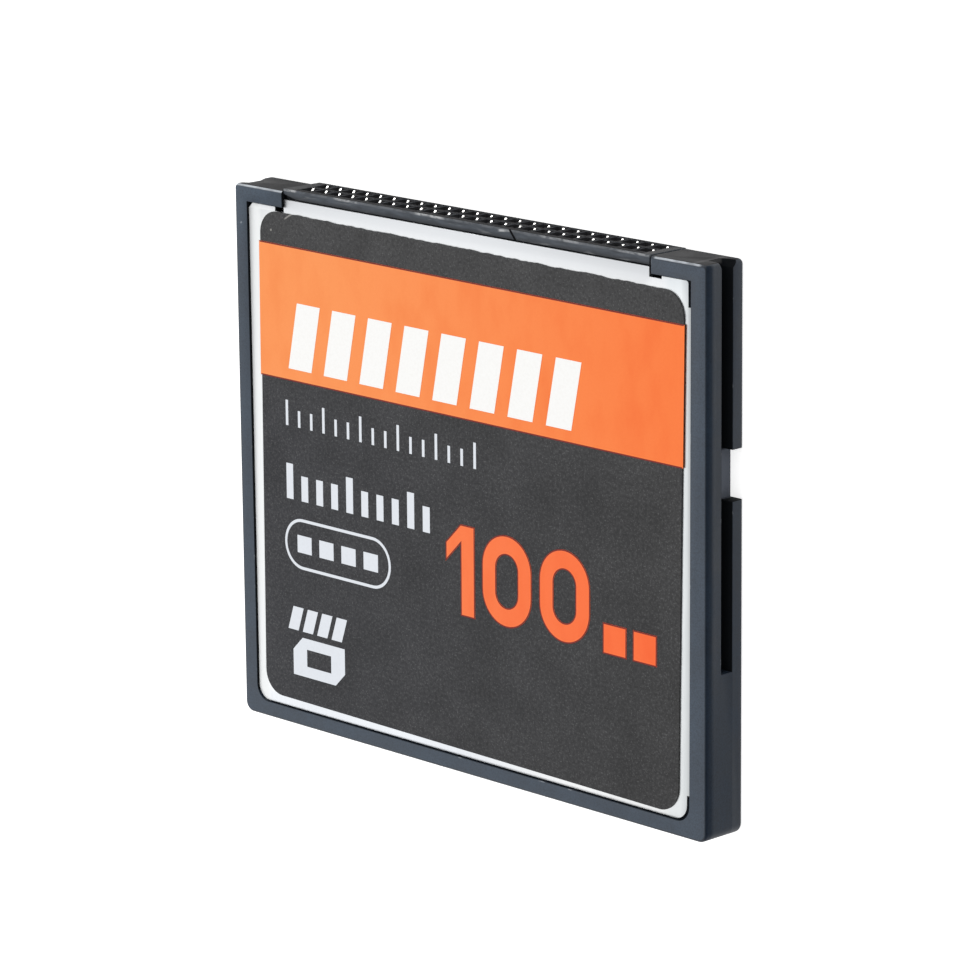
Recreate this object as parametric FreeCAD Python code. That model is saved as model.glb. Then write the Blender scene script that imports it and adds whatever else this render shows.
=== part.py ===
import FreeCAD, Part
import math
import os

# Compact flash card lying on its back with the label up. All sizes are in millimetres.
# X runs across the card, Y towards the sockets and Z from the back face to the label.

# Whole card
card_width = 42.8
card_length = 36.4
card_thickness = 3.3

# Frame: rim, corners and the two arms that hold the connector
side_rim = 1.31
foot_rim = 1.08
foot_corner_radius = 0.7
head_corner_radius = 0.32
front_edge_radius = 0.2
back_edge_radius = 0.25
pocket_corner_radius = 1.1
arm_depth = 1.1
arm_reach = 4.65
left_arm_drop = 0.15
ledge_width = 0.95
foot_ledge_width = 0.9
shelf_width = 0.6

# Guide grooves in the sides, measured from the back face and from the sockets' end
groove_width = 1.01
groove_length = 25.78
right_groove_back_wall = 0.99
right_groove_depth = 1.1
right_mouth_back_flare = 0.45
right_mouth_front_flare = 0.12
left_groove_back_wall = 1.6
left_groove_depth = 0.7
left_mouth_back_flare = 1.35
left_mouth_front_flare = 0.4
groove_mouth_length = 0.45
stop_start = 12.0
stop_length = 3.0

# Metal covers
sheet_thickness = 0.2
front_cover_recess = 0.16
cover_side_gap = 0.05
cover_foot_gap = 0.08
cover_arm_gap = 0.06
cover_corner_radius = 1.02
flange_depth = 0.55
flange_end_inset = 2.8
flange_slot_gap = 0.05
corner_step = 0.3
cover_clip = 0.35
tongue_top_gap = 0.1
relief_width = 0.95
left_relief_depth = 0.25
right_relief_depth = 0.22

# Label, stuck on slightly turned
label_side_margin = 0.94
label_foot_margin = 0.57
label_head_margin = 0.66
label_corner_radius = 1.6
label_thickness = 0.1
label_shift = 0.1
label_turn = -0.5

# Print: its places are shares of the label's width and height
ink_thickness = 0.02
print_turn = -0.12
band_foot_share = 0.6655
band_head_share = 0.9335
block_count = 8
block_left_share = 0.069
block_width_share = 0.058
block_pitch_share = 0.0895
block_lean_share = 0.024
block_foot_share = 0.69
block_head_share = 0.826
tick_count = 16
tick_left_share = 0.059
tick_width_share = 0.006
tick_pitch_share = 0.031
tick_foot_share = 0.572
short_tick_share = 0.034
tall_tick_share = 0.052
tall_tick_every = 3
bar_count = 10
bar_left_share = 0.058
bar_width_share = 0.017
bar_pitch_share = 0.038
bar_foot_share = 0.421
short_bar_share = 0.052
tall_bar_share = 0.073
tall_bar_every = 4
pill_left_share = 0.0515
pill_right_share = 0.3195
pill_foot_share = 0.279
pill_head_share = 0.384
pill_stroke = 0.2
pill_dot_count = 4
pill_dot_share = 0.036
pill_dot_pitch_share = 0.056
stripe_count = 4
stripe_left_share = 0.056
stripe_width_share = 0.026
stripe_pitch_share = 0.037
stripe_lean_share = 0.014
stripe_foot_share = 0.149
stripe_head_share = 0.198
pictogram_left_share = 0.068
pictogram_right_share = 0.2
pictogram_foot_share = 0.055
pictogram_head_share = 0.136
pictogram_clip_share = 0.028
pictogram_window_share = 0.036
number_left_share = 0.457
number_foot_share = 0.272
number_head_share = 0.456
number_stroke_share = 0.034
number_flag_share = 0.036
zero_width_share = 0.118
zero_count = 2
zero_pitch_share = 0.135
small_block_count = 2
small_block_left_share = 0.826
small_block_width_share = 0.054
small_block_pitch_share = 0.068
small_block_head_share = 0.333

# Socket connector
connector_left_gap = 0.12
connector_right_gap = 0.2
connector_depth = 5.8
connector_ear_height = 2.0
lip_height = 0.62
lip_set_back = 0.18
lip_worn_length = 1.25
lip_worn_height = 0.26
slit_place = 20.25
slit_width = 0.16
slit_depth = 0.1
slit_lean = 40.0
socket_columns = 25
socket_end_margin = 1.35
socket_row_gap = 1.27
socket_row_offset = 0.185
socket_width = 0.8
socket_mouth_width = 1.0
socket_mouth_depth = 0.35
socket_depth = 4.0

# Contacts
contact_width = 0.34
contact_thickness = 0.2
contact_tip_depth = 0.02
contact_tail_length = 1.5
contact_bend_length = 0.45

# Circuit board
board_thickness = 0.6
board_side_gap = 0.1
board_foot_gap = 0.15
board_connector_gap = 0.1
board_corner_cut = 1.2

# Chips with gull wing leads
chip_headroom = 0.16
chip_standoff = 0.08
chip_edge_bevel = 0.1
lead_width = 0.22
lead_thickness = 0.13
lead_reach = 0.8
lead_foot = 0.5
memory_width = 12.0
memory_length = 18.4
memory_side_margin = 1.2
memory_foot_margin = 0.6
memory_leads_per_end = 24
memory_lead_margin = 0.25
controller_size = 10.0
controller_side_margin = 1.6
controller_foot_margin = 1.8
controller_leads_per_side = 11
controller_lead_margin = 1.0
regulator_length = 2.9
regulator_width = 1.6
regulator_shift = 3.2
regulator_leads_per_side = 3
regulator_lead_margin = 0.5

# Crystal
crystal_length = 3.2
crystal_width = 2.5
crystal_base_height = 0.45
crystal_lid_height = 0.3
crystal_lid_inset = 0.22
crystal_shift = -3.0
crystal_row_gap = 1.4

# Small chip capacitors and resistors
small_chip_width = 0.8
small_chip_end = 0.3
small_chip_pitch = 1.9
capacitor_length = 1.6
capacitor_height = 0.8
capacitor_count = 6
capacitor_head_margin = 2.6
resistor_length = 1.2
resistor_height = 0.45
resistor_count = 5
resistor_row_gap = 1.3

# Places in the frame
half_width = card_width / 2
half_length = card_length / 2
pocket_half_width = half_width - side_rim
pocket_foot = foot_rim - half_length
arm_end = half_width - arm_reach
right_arm_foot = half_length - arm_depth
left_arm_foot = right_arm_foot - left_arm_drop
cavity_half_width = pocket_half_width - ledge_width
cavity_foot = pocket_foot + foot_ledge_width
overshoot = 1.0

# Places of the covers and the label
front_sheet_top = card_thickness - front_cover_recess
front_bed = front_sheet_top - sheet_thickness
back_bed = sheet_thickness
flange_half_length = half_length - flange_end_inset
label_half_width = pocket_half_width - label_side_margin
label_foot = pocket_foot + label_foot_margin
label_head = right_arm_foot - label_head_margin
label_middle = (label_foot + label_head) / 2
label_top = front_sheet_top + label_thickness

# Places of the connector, its sockets and the board
connector_left = connector_left_gap - arm_end
connector_right = arm_end - connector_right_gap
connector_foot = half_length - connector_depth
lip_foot = half_length - lip_height
first_socket = connector_left + socket_end_margin
socket_pitch = (connector_right - connector_left - 2 * socket_end_margin) / (socket_columns - 1)
socket_row_middle = card_thickness / 2 - socket_row_offset
front_row = socket_row_middle + socket_row_gap / 2
back_row = socket_row_middle - socket_row_gap / 2
board_front = front_row - socket_width / 2
board_back = board_front - board_thickness
board_half_width = cavity_half_width - board_side_gap
board_foot = cavity_foot + board_foot_gap
board_head = connector_foot - board_connector_gap

# Places of what the board carries
chip_height = front_bed - chip_headroom - chip_standoff - board_front
memory_x = memory_side_margin + memory_width / 2 - board_half_width
memory_y = board_foot + memory_foot_margin + lead_reach + memory_length / 2
controller_x = board_half_width - controller_side_margin - lead_reach - controller_size / 2
controller_y = board_foot + controller_foot_margin + lead_reach + controller_size / 2
controller_head = controller_y + controller_size / 2 + lead_reach
crystal_x = controller_x + crystal_shift
crystal_y = controller_head + crystal_row_gap + crystal_width / 2
regulator_x = controller_x + regulator_shift
resistor_y = crystal_y + crystal_width / 2 + resistor_row_gap + resistor_length / 2
capacitor_y = board_head - capacitor_head_margin - capacitor_length / 2


def vec(x, y, z):
    return FreeCAD.Vector(x, y, z)


def block(x_low, x_high, y_low, y_high, z_low, z_high):
    return Part.makeBox(x_high - x_low, y_high - y_low, z_high - z_low, vec(x_low, y_low, z_low))


def corner_arc(before, corner, after, radius):
    to_before = (before - corner).normalize()
    to_after = (after - corner).normalize()
    half_angle = to_before.getAngle(to_after) / 2
    reach = radius / math.tan(half_angle)
    to_centre = (to_before + to_after).normalize()
    middle = corner + to_centre * (radius / math.sin(half_angle) - radius)
    return [corner + to_before * reach, middle, corner + to_after * reach]


def outline(corners):
    """Closed outline through corners given as x, y and corner radius."""
    points = [vec(x, y, 0) for x, y, radius in corners]
    turns = []
    for index, point in enumerate(points):
        radius = corners[index][2]
        after = points[(index + 1) % len(points)]
        if radius > 0:
            turns.append(corner_arc(points[index - 1], point, after, radius))
        else:
            turns.append([point])
    edges = []
    for index, turn in enumerate(turns):
        if len(turn) > 1:
            edges.append(Part.Arc(turn[0], turn[1], turn[2]).toShape())
        start = turn[-1]
        end = turns[(index + 1) % len(turns)][0]
        edges.append(Part.makeLine(start, end))
    return Part.Wire(edges)


def plate(corners, z_low, z_high):
    base = Part.Face(outline(corners))
    base.translate(vec(0, 0, z_low))
    return base.extrude(vec(0, 0, z_high - z_low))


def side_profile(points, x_low, x_high):
    """Profile drawn in the Y and Z plane and drawn out along X."""
    wire = Part.makePolygon([vec(x_low, y, z) for y, z in points + points[:1]])
    return Part.Face(wire).extrude(vec(x_high - x_low, 0, 0))


def end_profile(points, y_low, y_high):
    """Profile drawn in the X and Z plane and drawn out along Y."""
    wire = Part.makePolygon([vec(x, y_low, z) for x, z in points + points[:1]])
    return Part.Face(wire).extrude(vec(0, y_high - y_low, 0))


def joined(shapes):
    return shapes[0].fuse(shapes[1:]).removeSplitter()


def save(name, shape):
    shape.exportStep(os.path.join("parts", name + ".step"))


def rim_edges(slab, height):
    """Edges that run around a slab at the given height."""
    edges = []
    for edge in slab.Edges:
        farthest = max(abs(vertex.Z - height) for vertex in edge.Vertexes)
        if farthest < card_thickness / 2:
            edges.append(edge)
    return edges


def rounded_slab(head):
    """Outer form of the card with its top end at the given place."""
    slab = plate(
        [
            (-half_width, -half_length, foot_corner_radius),
            (half_width, -half_length, foot_corner_radius),
            (half_width, head, head_corner_radius),
            (-half_width, head, head_corner_radius),
        ],
        0,
        card_thickness,
    )
    slab = slab.makeFillet(front_edge_radius, rim_edges(slab, card_thickness))
    return slab.makeFillet(back_edge_radius, rim_edges(slab, 0))


def pocket(z_low, z_high):
    """Space for a cover, whose top edge follows the two arms."""
    return plate(
        [
            (-pocket_half_width, pocket_foot, pocket_corner_radius),
            (pocket_half_width, pocket_foot, pocket_corner_radius),
            (pocket_half_width, right_arm_foot, 0),
            (0, right_arm_foot, 0),
            (0, left_arm_foot, 0),
            (-pocket_half_width, left_arm_foot, 0),
        ],
        z_low,
        z_high,
    )


def cavity():
    """Room for the electronics and for the ears of the connector."""
    left = block(
        -cavity_half_width, 0, cavity_foot, left_arm_foot, -overshoot, card_thickness + overshoot
    )
    right = block(
        0, cavity_half_width, cavity_foot, right_arm_foot, -overshoot, card_thickness + overshoot
    )
    mouth = block(
        -arm_end, arm_end, 0, half_length + overshoot, -overshoot, card_thickness + overshoot
    )
    return [left, right, mouth]


def flange_slots():
    slots = []
    outer = pocket_half_width
    inner = outer - cover_side_gap - sheet_thickness - flange_slot_gap
    half = flange_half_length + flange_slot_gap
    deep = flange_depth + flange_slot_gap
    for x_low, x_high in ((inner, outer), (-outer, -inner)):
        slots.append(block(x_low, x_high, -half, half, front_bed - deep, front_bed))
        slots.append(block(x_low, x_high, -half, half, back_bed, back_bed + deep))
    return slots


def mouth_bevel(floor, wall, flare, head):
    """Ramp that opens a groove's wall at the sockets' end, most at the card's side."""
    outer = half_width + overshoot
    foot = head - groove_mouth_length
    reach = flare * (outer - floor) / (half_width - floor)
    across_wall = end_profile([(floor, wall), (outer, wall), (outer, wall + reach)], foot, head)
    along_wall = side_profile([(foot, wall), (head, wall), (head, wall + flare)], floor, outer)
    return across_wall.common(along_wall)


def groove(side, back_wall, depth, back_flare, front_flare, head):
    """Guide groove with its flared mouth and its stop notch, for side 1 or -1."""
    outer = half_width + overshoot
    floor = half_width - depth
    top = back_wall + groove_width
    channel = block(floor, outer, half_length - groove_length, head + overshoot, back_wall, top)
    stop_head = half_length - stop_start
    notch = block(floor, outer, stop_head - stop_length, stop_head, -overshoot, back_wall)
    back_bevel = mouth_bevel(floor, back_wall, -back_flare, head)
    front_bevel = mouth_bevel(floor, top, front_flare, head)
    tool = joined([channel, notch, back_bevel, front_bevel])
    if side < 0:
        tool = tool.mirror(vec(0, 0, 0), vec(1, 0, 0))
    return tool


def board_shelves():
    """Narrow steps inside the frame that the circuit board lies on."""
    inner = cavity_half_width - shelf_width
    left = block(-cavity_half_width, -inner, cavity_foot, board_head, back_bed, board_back)
    right = block(inner, cavity_half_width, cavity_foot, board_head, back_bed, board_back)
    foot = block(
        -cavity_half_width, cavity_half_width, cavity_foot, cavity_foot + shelf_width, back_bed, board_back
    )
    return [left, right, foot]


def frame():
    reach = half_width + overshoot
    long = half_length + overshoot
    left_half = rounded_slab(half_length - left_arm_drop).common(
        block(-reach, 0, -long, long, 0, card_thickness)
    )
    right_half = rounded_slab(half_length).common(block(0, reach, -long, long, 0, card_thickness))
    cuts = [pocket(front_bed, card_thickness + overshoot), pocket(-overshoot, back_bed)]
    cuts += cavity()
    cuts += flange_slots()
    cuts.append(
        groove(
            1,
            right_groove_back_wall,
            right_groove_depth,
            right_mouth_back_flare,
            right_mouth_front_flare,
            half_length,
        )
    )
    cuts.append(
        groove(
            -1,
            left_groove_back_wall,
            left_groove_depth,
            left_mouth_back_flare,
            left_mouth_front_flare,
            half_length - left_arm_drop,
        )
    )
    rim = joined([left_half, right_half]).cut(cuts)
    return joined([rim] + board_shelves())


def flanges(z_low, z_high):
    """Folded long edges of a cover."""
    outer = pocket_half_width - cover_side_gap
    inner = outer - sheet_thickness
    half = flange_half_length
    return [
        block(inner, outer, -half, half, z_low, z_high),
        block(-outer, -inner, -half, half, z_low, z_high),
    ]


def front_cover():
    side = pocket_half_width - cover_side_gap
    foot = pocket_foot + cover_foot_gap
    step = side - corner_step
    head_left = left_arm_foot - cover_arm_gap
    head_right = right_arm_foot - cover_arm_gap
    tongue_head = lip_foot - tongue_top_gap
    relief_left = left_arm_foot - left_relief_depth
    relief_right = right_arm_foot - right_relief_depth
    sheet = plate(
        [
            (-side, foot, cover_corner_radius),
            (step, foot, cover_corner_radius),
            (step, -flange_half_length, 0),
            (side, -flange_half_length, 0),
            (side, flange_half_length, 0),
            (step, flange_half_length, 0),
            (step, head_right, sheet_thickness),
            (connector_right + relief_width, head_right, 0),
            (connector_right + relief_width, relief_right, 0),
            (connector_right, relief_right, 0),
            (connector_right, tongue_head, 0),
            (connector_left, tongue_head, 0),
            (connector_left, relief_left, 0),
            (connector_left - relief_width, relief_left, 0),
            (connector_left - relief_width, head_left, 0),
            (cover_clip - side, head_left, 0),
            (-side, head_left - cover_clip, 0),
        ],
        front_bed,
        front_sheet_top,
    )
    return joined([sheet] + flanges(front_bed - flange_depth, front_bed))


def back_cover():
    side = pocket_half_width - cover_side_gap
    foot = pocket_foot + cover_foot_gap
    head = left_arm_foot - cover_arm_gap
    tongue_head = lip_foot - tongue_top_gap
    sheet = plate(
        [
            (-side, foot, cover_corner_radius),
            (side, foot, cover_corner_radius),
            (side, head, sheet_thickness),
            (connector_right, head, 0),
            (connector_right, tongue_head, 0),
            (connector_left, tongue_head, 0),
            (connector_left, head, 0),
            (-side, head, sheet_thickness),
        ],
        0,
        back_bed,
    )
    return joined([sheet] + flanges(back_bed, back_bed + flange_depth))


def label_film(z_low, z_high):
    half_height = (label_head - label_foot) / 2
    film = plate(
        [
            (-label_half_width, -half_height, label_corner_radius),
            (label_half_width, -half_height, label_corner_radius),
            (label_half_width, half_height, label_corner_radius),
            (-label_half_width, half_height, label_corner_radius),
        ],
        z_low,
        z_high,
    )
    film.rotate(vec(0, 0, 0), vec(0, 0, 1), label_turn)
    film.translate(vec(label_shift, label_middle, 0))
    return film


def label():
    return label_film(front_sheet_top, label_top)


def across(share):
    """Place along X of a share of the label's width."""
    return label_shift + label_half_width * (2 * share - 1)


def up(share):
    """Place along Y of a share of the label's height."""
    return label_foot + (label_head - label_foot) * share


def turned(shape):
    """Print is set on the label with a small turn of its own."""
    shape.rotate(vec(label_shift, label_middle, 0), vec(0, 0, 1), print_turn)
    return shape


def label_band():
    top = label_top + ink_thickness
    field = block(-half_width, half_width, up(band_foot_share), up(band_head_share), label_top, top)
    return label_film(label_top, top).common(turned(field))


def mark(left, right, foot, head, lean=0, base=label_top):
    """Printed block between places in shares of the label, whose head leans to the right."""
    corners = [(left, foot), (right, foot), (right + lean, head), (left + lean, head)]
    return plate([(across(x), up(y), 0) for x, y in corners], base, base + ink_thickness)


def ring(left, right, foot, head, stroke):
    """Printed outline with round ends, between places in millimetres."""
    radius = min(right - left, head - foot) / 2.001
    inner = radius - stroke
    outer_form = [
        (left, foot, radius),
        (right, foot, radius),
        (right, head, radius),
        (left, head, radius),
    ]
    inner_form = [
        (left + stroke, foot + stroke, inner),
        (right - stroke, foot + stroke, inner),
        (right - stroke, head - stroke, inner),
        (left + stroke, head - stroke, inner),
    ]
    top = label_top + ink_thickness
    return plate(outer_form, label_top, top).cut(plate(inner_form, label_top, top))


def row_of_marks(count, left, width, pitch, foot, short, tall, tall_every):
    """Upright marks on one line, of which every few are taller."""
    marks = []
    for number in range(count):
        start = left + pitch * number
        height = short
        if number % tall_every == 0:
            height = tall
        marks.append(mark(start, start + width, foot, foot + height))
    return marks


def band_blocks():
    base = label_top + ink_thickness
    blocks = []
    for number in range(block_count):
        left = block_left_share + block_pitch_share * number
        right = left + block_width_share
        blocks.append(mark(left, right, block_foot_share, block_head_share, block_lean_share, base))
    return blocks


def pill():
    outline_ring = ring(
        across(pill_left_share),
        across(pill_right_share),
        up(pill_foot_share),
        up(pill_head_share),
        pill_stroke,
    )
    middle_x = (pill_left_share + pill_right_share) / 2
    middle_y = (pill_foot_share + pill_head_share) / 2
    half = pill_dot_share / 2
    dots = []
    for number in range(pill_dot_count):
        x = middle_x + pill_dot_pitch_share * (number - (pill_dot_count - 1) / 2)
        dots.append(mark(x - half, x + half, middle_y - half, middle_y + half))
    return [outline_ring] + dots


def pictogram():
    """Plain card with two clipped corners and a window, under a row of slanted stripes."""
    left = across(pictogram_left_share)
    right = across(pictogram_right_share)
    foot = up(pictogram_foot_share)
    head = up(pictogram_head_share)
    clip = up(pictogram_clip_share) - up(0)
    window = up(pictogram_window_share) - up(0)
    middle_x = (left + right) / 2
    middle_y = (foot + head) / 2
    top = label_top + ink_thickness
    card = plate(
        [
            (left, foot, 0),
            (right - clip, foot, 0),
            (right, foot + clip, 0),
            (right, head, 0),
            (left + clip, head, 0),
            (left, head - clip, 0),
        ],
        label_top,
        top,
    )
    hole = block(
        middle_x - window, middle_x + window, middle_y - window / 2, middle_y + window / 2, label_top, top
    )
    marks = [card.cut(hole)]
    for number in range(stripe_count):
        start = stripe_left_share + stripe_pitch_share * number
        end = start + stripe_width_share
        marks.append(mark(start, end, stripe_foot_share, stripe_head_share, stripe_lean_share))
    return marks


def white_print():
    marks = band_blocks()
    marks += row_of_marks(
        tick_count,
        tick_left_share,
        tick_width_share,
        tick_pitch_share,
        tick_foot_share,
        short_tick_share,
        tall_tick_share,
        tall_tick_every,
    )
    marks += row_of_marks(
        bar_count,
        bar_left_share,
        bar_width_share,
        bar_pitch_share,
        bar_foot_share,
        short_bar_share,
        tall_bar_share,
        tall_bar_every,
    )
    marks += pill()
    marks += pictogram()
    return turned(Part.makeCompound(marks))


def orange_print():
    """Plain number, one hundred, and two small blocks."""
    stroke = across(number_stroke_share) - across(0)
    flag = across(number_flag_share) - across(0)
    left = across(number_left_share)
    foot = up(number_foot_share)
    head = up(number_head_share)
    stem = left + flag
    top = label_top + ink_thickness
    one = plate(
        [
            (stem, foot, 0),
            (stem + stroke, foot, 0),
            (stem + stroke, head, 0),
            (stem, head, 0),
            (left, head - flag, 0),
            (left, head - flag - stroke, 0),
            (stem, head - stroke, 0),
        ],
        label_top,
        top,
    )
    marks = [one]
    zeros_left = number_left_share + number_flag_share + number_stroke_share
    gap = zero_pitch_share - zero_width_share
    for number in range(zero_count):
        start = zeros_left + gap + zero_pitch_share * number
        marks.append(ring(across(start), across(start + zero_width_share), foot, head, stroke))
    for number in range(small_block_count):
        start = small_block_left_share + small_block_pitch_share * number
        end = start + small_block_width_share
        marks.append(mark(start, end, number_foot_share, small_block_head_share))
    return turned(Part.makeCompound(marks))


def socket_columns_x():
    return [first_socket + socket_pitch * column for column in range(socket_columns)]


def socket_tool(row):
    """One socket: bevelled mouth, square hole and the slot that the contact leaves by."""
    mouth = socket_mouth_width / 2
    hole = socket_width / 2
    throat = half_length - socket_mouth_depth
    funnel = Part.makeWedge(
        -hole, throat, row - hole, row - mouth, -mouth, hole, half_length, row + hole, row + mouth, mouth
    )
    well = block(-hole, hole, half_length - socket_depth, throat, row - hole, row + hole)
    slot = block(
        -contact_width / 2,
        contact_width / 2,
        connector_foot - overshoot,
        half_length - socket_depth,
        row - hole,
        row - hole + contact_thickness,
    )
    return [funnel, well, slot]


def connector_body():
    left = connector_left
    right = connector_right
    ear_top = back_bed + connector_ear_height
    lip_top = card_thickness - lip_set_back
    core = block(left, right, connector_foot, half_length, back_bed, front_bed)
    left_ear = block(-cavity_half_width, 0, connector_foot, left_arm_foot, back_bed, ear_top)
    right_ear = block(0, cavity_half_width, connector_foot, right_arm_foot, back_bed, ear_top)
    front_lip = plate(
        [
            (left, lip_foot + lip_worn_height, 0),
            (left + lip_worn_length, lip_foot, 0),
            (right, lip_foot, 0),
            (right, half_length, 0),
            (left, half_length, 0),
        ],
        front_bed,
        lip_top,
    )
    back_lip = block(left, right, lip_foot, half_length, 0, back_bed)
    slit = block(-slit_width / 2, slit_width / 2, -lip_height, lip_height, lip_top - slit_depth, lip_top)
    slit.rotate(vec(0, 0, 0), vec(0, 0, 1), slit_lean)
    slit.translate(vec(left + slit_place, half_length - lip_height / 2, 0))
    cuts = [slit]
    for row in (front_row, back_row):
        for piece in socket_tool(row):
            cuts += [piece.translated(vec(x, 0, 0)) for x in socket_columns_x()]
    return joined([core, left_ear, right_ear, front_lip, back_lip]).cut(cuts)


def contact(row, board_side):
    """Contact blade whose tail lies on the face of the board at the given height."""
    low = row - socket_width / 2
    high = low + contact_thickness
    tail_low = board_side
    tail_high = board_side + contact_thickness
    tip = half_length - contact_tip_depth
    tail_head = connector_foot - contact_bend_length
    tail_foot = connector_foot - contact_tail_length
    points = [(tip, low), (tip, high), (connector_foot, high)]
    if tail_low != low:
        points += [(tail_head, tail_high)]
    points += [(tail_foot, tail_high), (tail_foot, tail_low)]
    if tail_low != low:
        points += [(tail_head, tail_low)]
    points += [(connector_foot, low)]
    return side_profile(points, -contact_width / 2, contact_width / 2)


def contact_row(row, board_side):
    one = contact(row, board_side)
    return Part.makeCompound([one.translated(vec(x, 0, 0)) for x in socket_columns_x()])


def circuit_board():
    side = board_half_width
    cut = board_corner_cut
    return plate(
        [
            (-side, board_foot, 0),
            (side - cut, board_foot, 0),
            (side, board_foot + cut, 0),
            (side, board_head, 0),
            (-side, board_head, 0),
        ],
        board_back,
        board_front,
    )


def chip_section(size):
    """Section of a chip's body: bevelled above and below the flat that its leads leave."""
    low = board_front + chip_standoff
    high = low + chip_height
    lead_low = (low + high - lead_thickness) / 2
    lead_high = lead_low + lead_thickness
    half = size / 2
    inset = half - chip_edge_bevel
    return [
        (-inset, low),
        (inset, low),
        (half, lead_low),
        (half, lead_high),
        (inset, high),
        (-inset, high),
        (-half, lead_high),
        (-half, lead_low),
    ]


def chip_body(width, length, x, y):
    body = end_profile(chip_section(width), -length / 2, length / 2).common(
        side_profile(chip_section(length), -width / 2, width / 2)
    )
    body.translate(vec(x, y, 0))
    return body


def chip_lead(half):
    """Gull wing lead that leaves a chip's side at the given distance from its middle."""
    low = board_front + chip_standoff + (chip_height - lead_thickness) / 2
    high = low + lead_thickness
    toe = half + lead_reach
    heel = toe - lead_foot
    return end_profile(
        [
            (half, low),
            (half, high),
            (heel, high),
            (heel, board_front + lead_thickness),
            (toe, board_front + lead_thickness),
            (toe, board_front),
            (heel - lead_thickness, board_front),
            (heel - lead_thickness, low),
        ],
        -lead_width / 2,
        lead_width / 2,
    )


def lead_rows(half, side, margin, count, turns, x, y):
    """Rows of leads along a chip's sides of the given length, at the turns in degrees."""
    pitch = (side - 2 * margin) / (count - 1)
    leads = []
    for turn in turns:
        for number in range(count):
            lead = chip_lead(half)
            lead.translate(vec(0, pitch * (number - (count - 1) / 2), 0))
            lead.rotate(vec(0, 0, 0), vec(0, 0, 1), turn)
            lead.translate(vec(x, y, 0))
            leads.append(lead)
    return Part.makeCompound(leads)


def memory_package():
    return chip_body(memory_width, memory_length, memory_x, memory_y)


def memory_leads():
    return lead_rows(
        memory_length / 2,
        memory_width,
        memory_lead_margin,
        memory_leads_per_end,
        (90, 270),
        memory_x,
        memory_y,
    )


def controller_package():
    return chip_body(controller_size, controller_size, controller_x, controller_y)


def controller_leads():
    return lead_rows(
        controller_size / 2,
        controller_size,
        controller_lead_margin,
        controller_leads_per_side,
        (0, 90, 180, 270),
        controller_x,
        controller_y,
    )


def regulator_package():
    return chip_body(regulator_width, regulator_length, regulator_x, crystal_y)


def regulator_leads():
    return lead_rows(
        regulator_width / 2,
        regulator_length,
        regulator_lead_margin,
        regulator_leads_per_side,
        (0, 180),
        regulator_x,
        crystal_y,
    )


def crystal_base():
    return block(
        crystal_x - crystal_length / 2,
        crystal_x + crystal_length / 2,
        crystal_y - crystal_width / 2,
        crystal_y + crystal_width / 2,
        board_front,
        board_front + crystal_base_height,
    )


def crystal_lid():
    half_across = crystal_length / 2 - crystal_lid_inset
    half_up = crystal_width / 2 - crystal_lid_inset
    low = board_front + crystal_base_height
    lid = plate(
        [
            (-half_across, -half_up, crystal_lid_inset),
            (half_across, -half_up, crystal_lid_inset),
            (half_across, half_up, crystal_lid_inset),
            (-half_across, half_up, crystal_lid_inset),
        ],
        low,
        low + crystal_lid_height,
    )
    lid.translate(vec(crystal_x, crystal_y, 0))
    return lid


def small_chips(length, height, count, x, y):
    """Row of two-ended chips on the board: their bodies and their metal ends."""
    bodies = []
    ends = []
    half = small_chip_width / 2
    top = board_front + height
    for number in range(count):
        middle = x + small_chip_pitch * (number - (count - 1) / 2)
        foot = y - length / 2
        head = y + length / 2
        bodies.append(
            block(
                middle - half, middle + half, foot + small_chip_end, head - small_chip_end, board_front, top
            )
        )
        ends.append(block(middle - half, middle + half, foot, foot + small_chip_end, board_front, top))
        ends.append(block(middle - half, middle + half, head - small_chip_end, head, board_front, top))
    return Part.makeCompound(bodies), Part.makeCompound(ends)


capacitor_bodies, capacitor_ends = small_chips(
    capacitor_length, capacitor_height, capacitor_count, 0, capacitor_y
)
resistor_bodies, resistor_ends = small_chips(
    resistor_length, resistor_height, resistor_count, controller_x, resistor_y
)

save("frame", frame())
save("front_cover", front_cover())
save("back_cover", back_cover())
save("label", label())
save("label_band", label_band())
save("white_print", white_print())
save("orange_print", orange_print())
save("connector_body", connector_body())
save("contacts_front", contact_row(front_row, board_front))
save("contacts_back", contact_row(back_row, board_back - contact_thickness))
save("circuit_board", circuit_board())
save("memory_package", memory_package())
save("memory_leads", memory_leads())
save("controller_package", controller_package())
save("controller_leads", controller_leads())
save("regulator_package", regulator_package())
save("regulator_leads", regulator_leads())
save("crystal_base", crystal_base())
save("crystal_lid", crystal_lid())
save("capacitor_bodies", capacitor_bodies)
save("capacitor_ends", capacitor_ends)
save("resistor_bodies", resistor_bodies)
save("resistor_ends", resistor_ends)
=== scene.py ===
"""Compact flash card lying on its back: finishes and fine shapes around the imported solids.

The frame of reference is the solids' own: X runs across the card, Y towards its sockets and Z
from its back face to its label. Lengths are in metres. MM turns millimetres into metres.
"""

import math
import random

import bmesh
import bpy
from bpy.props import FloatProperty, FloatVectorProperty, PointerProperty
from mathutils import Matrix, Vector


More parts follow.
